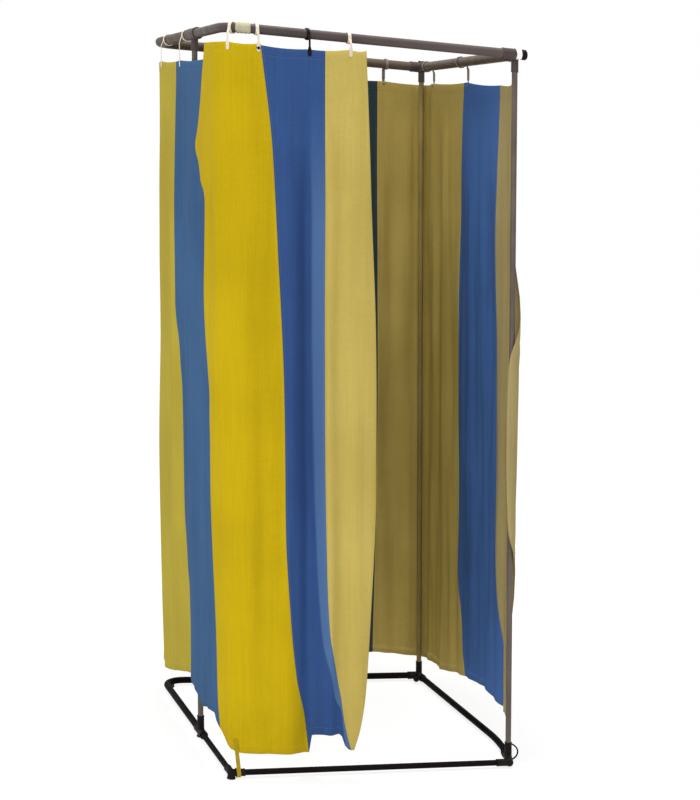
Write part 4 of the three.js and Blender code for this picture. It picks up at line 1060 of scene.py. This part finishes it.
def cloth_sheet(name, outside, inside, near, far):
    """A closed sheet from the points of its two faces, with its distances to its edges as two UV maps."""
    rows, columns = outside.shape[:2]
    count = rows * columns
    points = np.vstack([outside.reshape(-1, 3), inside.reshape(-1, 3)])
    index = np.arange(count).reshape(rows, columns)
    front = np.stack([index[:-1, :-1], index[1:, :-1], index[1:, 1:], index[:-1, 1:]], -1).reshape(-1, 4)
    loop = np.concatenate([index[0], index[1:, -1], index[-1, -2::-1], index[-2:0:-1, 0]])
    after = np.roll(loop, -1)
    rim = np.stack([loop, after, after + count, loop + count], -1)
    faces = np.vstack([front, front[:, ::-1] + count, rim])
    mesh = bpy.data.meshes.new(name)
    mesh.from_pydata(points.tolist(), [], faces.tolist())
    corners = faces.reshape(-1) % count
    for map_name, (u, v) in (("near", near), ("far", far)):
        places = np.stack([u.reshape(-1)[corners], v.reshape(-1)[corners]], 1)
        mesh.uv_layers.new(name=map_name).data.foreach_set("uv", places.reshape(-1))
    mesh.validate()
    smooth_shaded(mesh, 60)
    return linked(name, mesh)


DRAWN_STRIPES = 3


def curtain_pieces():
    """The nine stripes, and each one's cut size. The front three stay where they are made; the others ride
    on the ring.
    """
    front, lead = (up((middle(node, 0), -HALF), HIGH) for node in ("hook_front_left", "hook_front_lead"))
    edges = [
        lead_edge_shares, sand_blue_shares, blue_yellow_shares, yellow_left_shares, left_khaki_shares,
        khaki_rear_shares, rear_khaki_shares, khaki_right_shares, right_khaki_shares, end_edge_shares,
    ]
    stripes = [
        ("sand_front", cloth_sand), ("blue_front", cloth_blue), ("yellow_corner", cloth_yellow),
        ("blue_left", cloth_blue_left_painted_light), ("khaki_rear_left", cloth_khaki_rear_left_painted_light), ("blue_rear", cloth_blue_rear_painted_shade),
        ("khaki_rear_right", cloth_khaki), ("blue_right", cloth_blue_right_painted_light),
        ("khaki_front_right", cloth_khaki_painted_shade),
    ]
    for number, (name, material) in enumerate(stripes):
        node = "curtain_" + name
        tops = yellow_top_shares if material is cloth_yellow else None
        piece, flat, area = stripe_piece(node, edges[number], edges[number + 1], material, tops)
        if number < DRAWN_STRIPES:
            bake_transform(piece)
            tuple(front)
            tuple(lead)
        else:
            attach(piece, "ring")
        print("sheet", node, [round(v, 3) for v in flat], round(area, 3))


# Hooks and ties


def placed(shell, place, heading):
    """A shell made at the origin, with x along the rail and y outward, moved to its place on the ring."""
    points, faces = shell
    turn = np.array([[heading.x, -heading.y, 0], [heading.y, heading.x, 0], [0, 0, 1]])
    return points @ turn.T + np.array((*place, HIGH)), faces


def strip(rows):
    """A strip down a row of (width, thickness, y, z) places, with rounded edges."""
    half = [(-0.5, 0), (-0.48, 0.3), (-0.36, 0.45), (0, 0.5), (0.36, 0.45), (0.48, 0.3)]
    section = half + [(-u, -v) for u, v in half]
    return capped([[(u * width, y + v * thick, z) for u, v in section] for width, thick, y, z in rows])


# Hook sizes
HOOK_WIDTH = 0.009
RING_GAP, RING_WALL, RING_EDGE = 0.0006, 0.0026, 0.0009
TAB_THICKNESS = 0.0016
TAB_ROOT = 0.0008  # by which the tab's root is sunk in the ring
TAB_RISE = 0.006  # of the tab's root over its shoulder, and of its wide part over the cloth
RIVET_RISE = 0.009
WASHER_RADIUS, WASHER_HEIGHT, WASHER_EDGE = 0.004, 0.001, 0.0006
RIVET_SINK = 0.0002
rivet_profile = [(0.0026, 0), (0.0026, 0.0004), (0.002, 0.0011), (0.0009, 0.0015), (0, 0.0016)]
LAST_FRONT_STATION = 1.2  # where the front rail ends, past its bend


def hook_piece(node, station, material):
    """A ring round the rail, with a tab that widens over the cloth's hem and is riveted through it."""
    place, heading, _ = route_at(station)
    body = next(name for name, nodes in frame["record"]["behaviour"]["bodies"].items() if node in nodes)
    rail = TOP_TUBE if station > LAST_FRONT_STATION else TOP_FRONT_TUBE
    inner, outer = rail + RING_GAP, rail + RING_GAP + RING_WALL
    half, flat = HOOK_WIDTH / 2, HOOK_WIDTH / 2 - RING_EDGE
    side = [(inner, flat), (inner + RING_EDGE / 2, half), (outer - RING_EDGE, half), (outer, flat)]
    profile = [(radius, -along) for radius, along in side] + side[::-1]
    ring = lathe(profile, (0, 0, 0), RIGHT, looped=True)
    hem = CLOTH_HALF + HEM_EXTRA + FIT
    reach = CLOTH_REACH + hem + TAB_THICKNESS / 2
    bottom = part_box(node)[0][2] - HIGH
    clear = cloth_top(station) + TAB_RISE - HIGH
    shoulder = -rail * 0.35
    rows = [(0.9, 1, outer - TAB_ROOT, shoulder + TAB_RISE), (0.95, 1, outer, shoulder)]
    stem = (1.1, 3.6) if material is hook_plastic else (0.6, 1)
    rows += [(*stem, reach, -rail + (clear + rail) * share) for share in (0.15, 0.4, 0.7, 0.95)]
    tab = [(0.1, 0.9), (0.3, 1.1), (0.8, 1.1), (0.96, 0.8), (1, 0.4)]
    rows += [(wide, 1, reach, clear + (bottom - clear) * share) for share, wide in tab]
    rows = [(HOOK_WIDTH * wide, TAB_THICKNESS * thick, y, z) for wide, thick, y, z in rows]
    height = bottom + RIVET_RISE
    rivet_seat = reach + TAB_THICKNESS / 2 - RIVET_SINK
    rivet = lathe(rivet_profile, (0, rivet_seat, height), (0, 1, height), sides=FEW_SIDES)
    disc = [(0, 0), (WASHER_RADIUS, 0), (WASHER_RADIUS, WASHER_EDGE), (0, WASHER_HEIGHT)]
    washer = lathe(disc, (0, CLOTH_REACH - hem, height), (0, 0, height), sides=FEW_SIDES)
    shells = [placed(shell, place, heading) for shell in (ring, strip(rows), rivet, washer)]
    dress(node, "clip", shells, material, body)


stud_shares = [
    (1, 0), (1, 0.2), (0.85, 0.35), (0.7, 0.3), (0.6, 0.75), (0.35, 0.95), (0, 1),
]
STUD_HEIGHT = 0.004


def stud_piece():
    """A dark press stud in the yellow stripe's top hem."""
    radius = extent("curtain_stud", 2) / 2
    profile = [(0, 0), *[(radius * r, STUD_HEIGHT * along) for r, along in stud_shares]]
    turned_piece("curtain_stud", "cap", profile, -BACK, dark_plastic, "ring", SIDES)


STRAP_WIDTH = 0.011
STRAP_THICKNESS = 0.0014
STRAP_LEAN = 0.007
STRAP_HUG = 0.0037  # its distance in front of the hem


def strap_piece():
    """The strap from the yellow hem down and round the front left elbow's arm."""
    node = "tie_strap_front_left"
    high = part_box(node)[1]
    x, rise = high[0] - STRAP_WIDTH / 2, high[2] - LOW
    loop = ROD_SLEEVE + BEAD + STRAP_THICKNESS
    angles = [*np.linspace(0.18, math.pi * 0.95, 22), *np.linspace(math.pi * 0.98, 2 * math.pi, 26)]
    tail = [(loop + (STRAP_HUG - loop) * smooth(t), rise * t) for t in np.linspace(0.1, 1, 16)]
    path = np.array([*[(math.cos(a) * loop, math.sin(a) * loop) for a in angles], *tail])
    slope = np.gradient(path, axis=0)
    slope /= np.linalg.norm(slope, axis=1, keepdims=True)
    half = [(-0.5, -0.2), (-0.5, 0.2), (-0.48, 0.5)]
    section = half + [(-s, t) for s, t in half[::-1]] + [(0.48, -0.5), (-0.48, -0.5)]
    s, t = np.array(section).T
    (out, up_z), (slope_out, slope_z) = path.T[..., None], slope.T[..., None]
    near = x - STRAP_LEAN * np.maximum(up_z, 0) / rise
    across = t * STRAP_THICKNESS
    y, z = -HALF - out - slope_z * across, LOW + up_z - slope_out * across
    rings = np.stack([near + s * STRAP_WIDTH, y, z], 2)
    piece = cover(turned(node + "_webbing", [capped(rings)]), strap_webbing_painted_shade, node)
    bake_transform(piece)


ELASTIC = 0.0022
ELASTIC_RIBS, ELASTIC_RIB_DEPTH, ELASTIC_LAY = 4, 0.07, 40  # ribs round the cord, and their turns
ELASTIC_WOBBLE = 0.03


def loop_piece():
    """The loose elastic loop round the right rail, with its foot on the floor."""
    node = "tie_loop_front_right"
    centre = np.array([middle(node, axis) for axis in range(3)])
    radius = extent(node, 2) / 2 - ELASTIC
    lean = math.asin((BASE_FRONT_BEND * math.sin(BASE_FRONT_TURN) - HALF - centre[1]) / BASE_FRONT_BEND)
    flat = np.array((math.cos(lean), -math.sin(lean), 0))
    side = np.array((math.sin(lean), math.cos(lean), 0))
    angles, section = circle(MOST_SIDES)[:, None], circle(16)
    ribs = np.sin(section * ELASTIC_RIBS + angles * ELASTIC_LAY)
    cord = ELASTIC * (1 + ELASTIC_RIB_DEPTH * ribs)
    out, aside = np.cos(section) * cord, np.sin(section) * cord
    across = (radius * (1 + ELASTIC_WOBBLE * np.sin(3 * angles + 1)) + out) * np.cos(angles)
    rise = (radius + out) * np.sin(angles)
    points = centre + across[..., None] * flat + aside[..., None] * side + rise[..., None] * np.array(UP)
    dress(node, "elastic", [surface(points, round_rows=True, round_columns=True)], elastic, "base")


# Stage, light and camera


FLOOR_SIZE = 30
FLOOR_WHITE = 0.7
FLOOR_GLOW = 1.15
WORLD_LIGHT = 0.84


def floor():
    bpy.ops.mesh.primitive_plane_add(size=FLOOR_SIZE, location=(0, FLOOR_SIZE / 4, 0))
    plane = bpy.context.object
    plane.name = "floor"
    paint = Paint("floor_white")
    paint.set(Base_Color=(0.86, 0.86, 0.86, 1), Roughness=0.9, Specular_IOR_Level=0.1)
    glow = paint.node("Emission", {"Color": (1, 1, 1, 1), "Strength": FLOOR_GLOW})
    share = paint.times(paint.seen(), FLOOR_WHITE)
    blend = paint.node("MixShader", {0: share, 1: paint.shader.outputs[0], 2: glow})
    paint.feed(paint.tree.nodes["Material Output"].inputs["Surface"], blend)
    plane.data.materials.append(paint.material)


def world():
    """An even pale surround that lights the object softly and is white to the camera and in reflections."""
    made = bpy.data.worlds.new("surround")
    bpy.context.scene.world = made
    made.use_nodes = True
    nodes = Nodes(made.node_tree)
    background = nodes.tree.nodes["Background"].inputs
    nodes.feed(background["Color"], (1, 1, 1, 1))
    level = nodes.node("MapRange", {"Value": nodes.seen(), "To Min": WORLD_LIGHT, "To Max": 1})
    nodes.feed(background["Strength"], level)


def lamp(name, place, target, size, power):
    light = bpy.data.lights.new(name, "AREA")
    light.shape = "DISK"
    light.size = size
    light.energy = power
    holder = linked(name, light)
    holder.location = place
    holder.rotation_euler = (Vector(target) - Vector(place)).to_track_quat("-Z", "Y").to_euler()


def camera():
    """The photograph's camera. A sheared parent matrix skews its level lines as the photograph's are."""
    data = bpy.data.cameras.new("photo_camera")
    data.sensor_width = 36
    data.lens = FOCAL_PX * data.sensor_width / PHOTO_HEIGHT_PX
    data.shift_y = (CENTRE_Y_PX - PHOTO_HEIGHT_PX / 2) / PHOTO_HEIGHT_PX
    holder, stand = linked("photo_camera", data), linked("photo_camera_stand", None)
    turn = Matrix.Rotation(CAMERA_YAW, 4, "Z") @ Matrix.Rotation(math.pi / 2 + CAMERA_PITCH, 4, "X")
    shear = Matrix.Identity(4)
    shear[1][0] = PHOTO_SKEW
    holder.parent = stand
    holder.matrix_parent_inverse = Matrix.Translation(CAMERA_PLACE) @ turn @ shear
    bpy.context.scene.camera = holder


dress_tubes()
post_piece("post_left", (-HALF, LEFT_POST_Y))
post_piece("post_rear_right", (HALF, HALF))
post_piece("post_front_right", FRONT_POST)
base_fittings()
top_fittings()
for name in ("rear_left", "left", "front_left", "front_right", "rear_right"):
    glide_piece("glide_" + name)
clamp_pieces()
rail_end_pieces()
lid_piece()
band_piece()
curtain_pieces()
hook_materials = {"hook_front_follower": dark_plastic}
for name in ("front_lead", "front_left", "corner_front_left", "left_front", "left_rear"):
    hook_materials["hook_" + name] = pale_plastic
for node, station in hook_shares:
    hook_piece(node, station, hook_materials.get(node, hook_plastic))
stud_piece()
strap_piece()
loop_piece()

floor()
world()
lamp("key", (-4.0, -4.0, 2.4), (0, 0, 1.0), 2.6, 80)
lamp("fill", (-1.6, -5.4, 1.5), (0.1, 0, 0.9), 2.4, 20)
lamp("top", (-0.1, -0.1, 5.0), (0.1, 0.1, 0), 0.8, 110)
camera()
bpy.context.scene.view_settings.view_transform = "Standard"
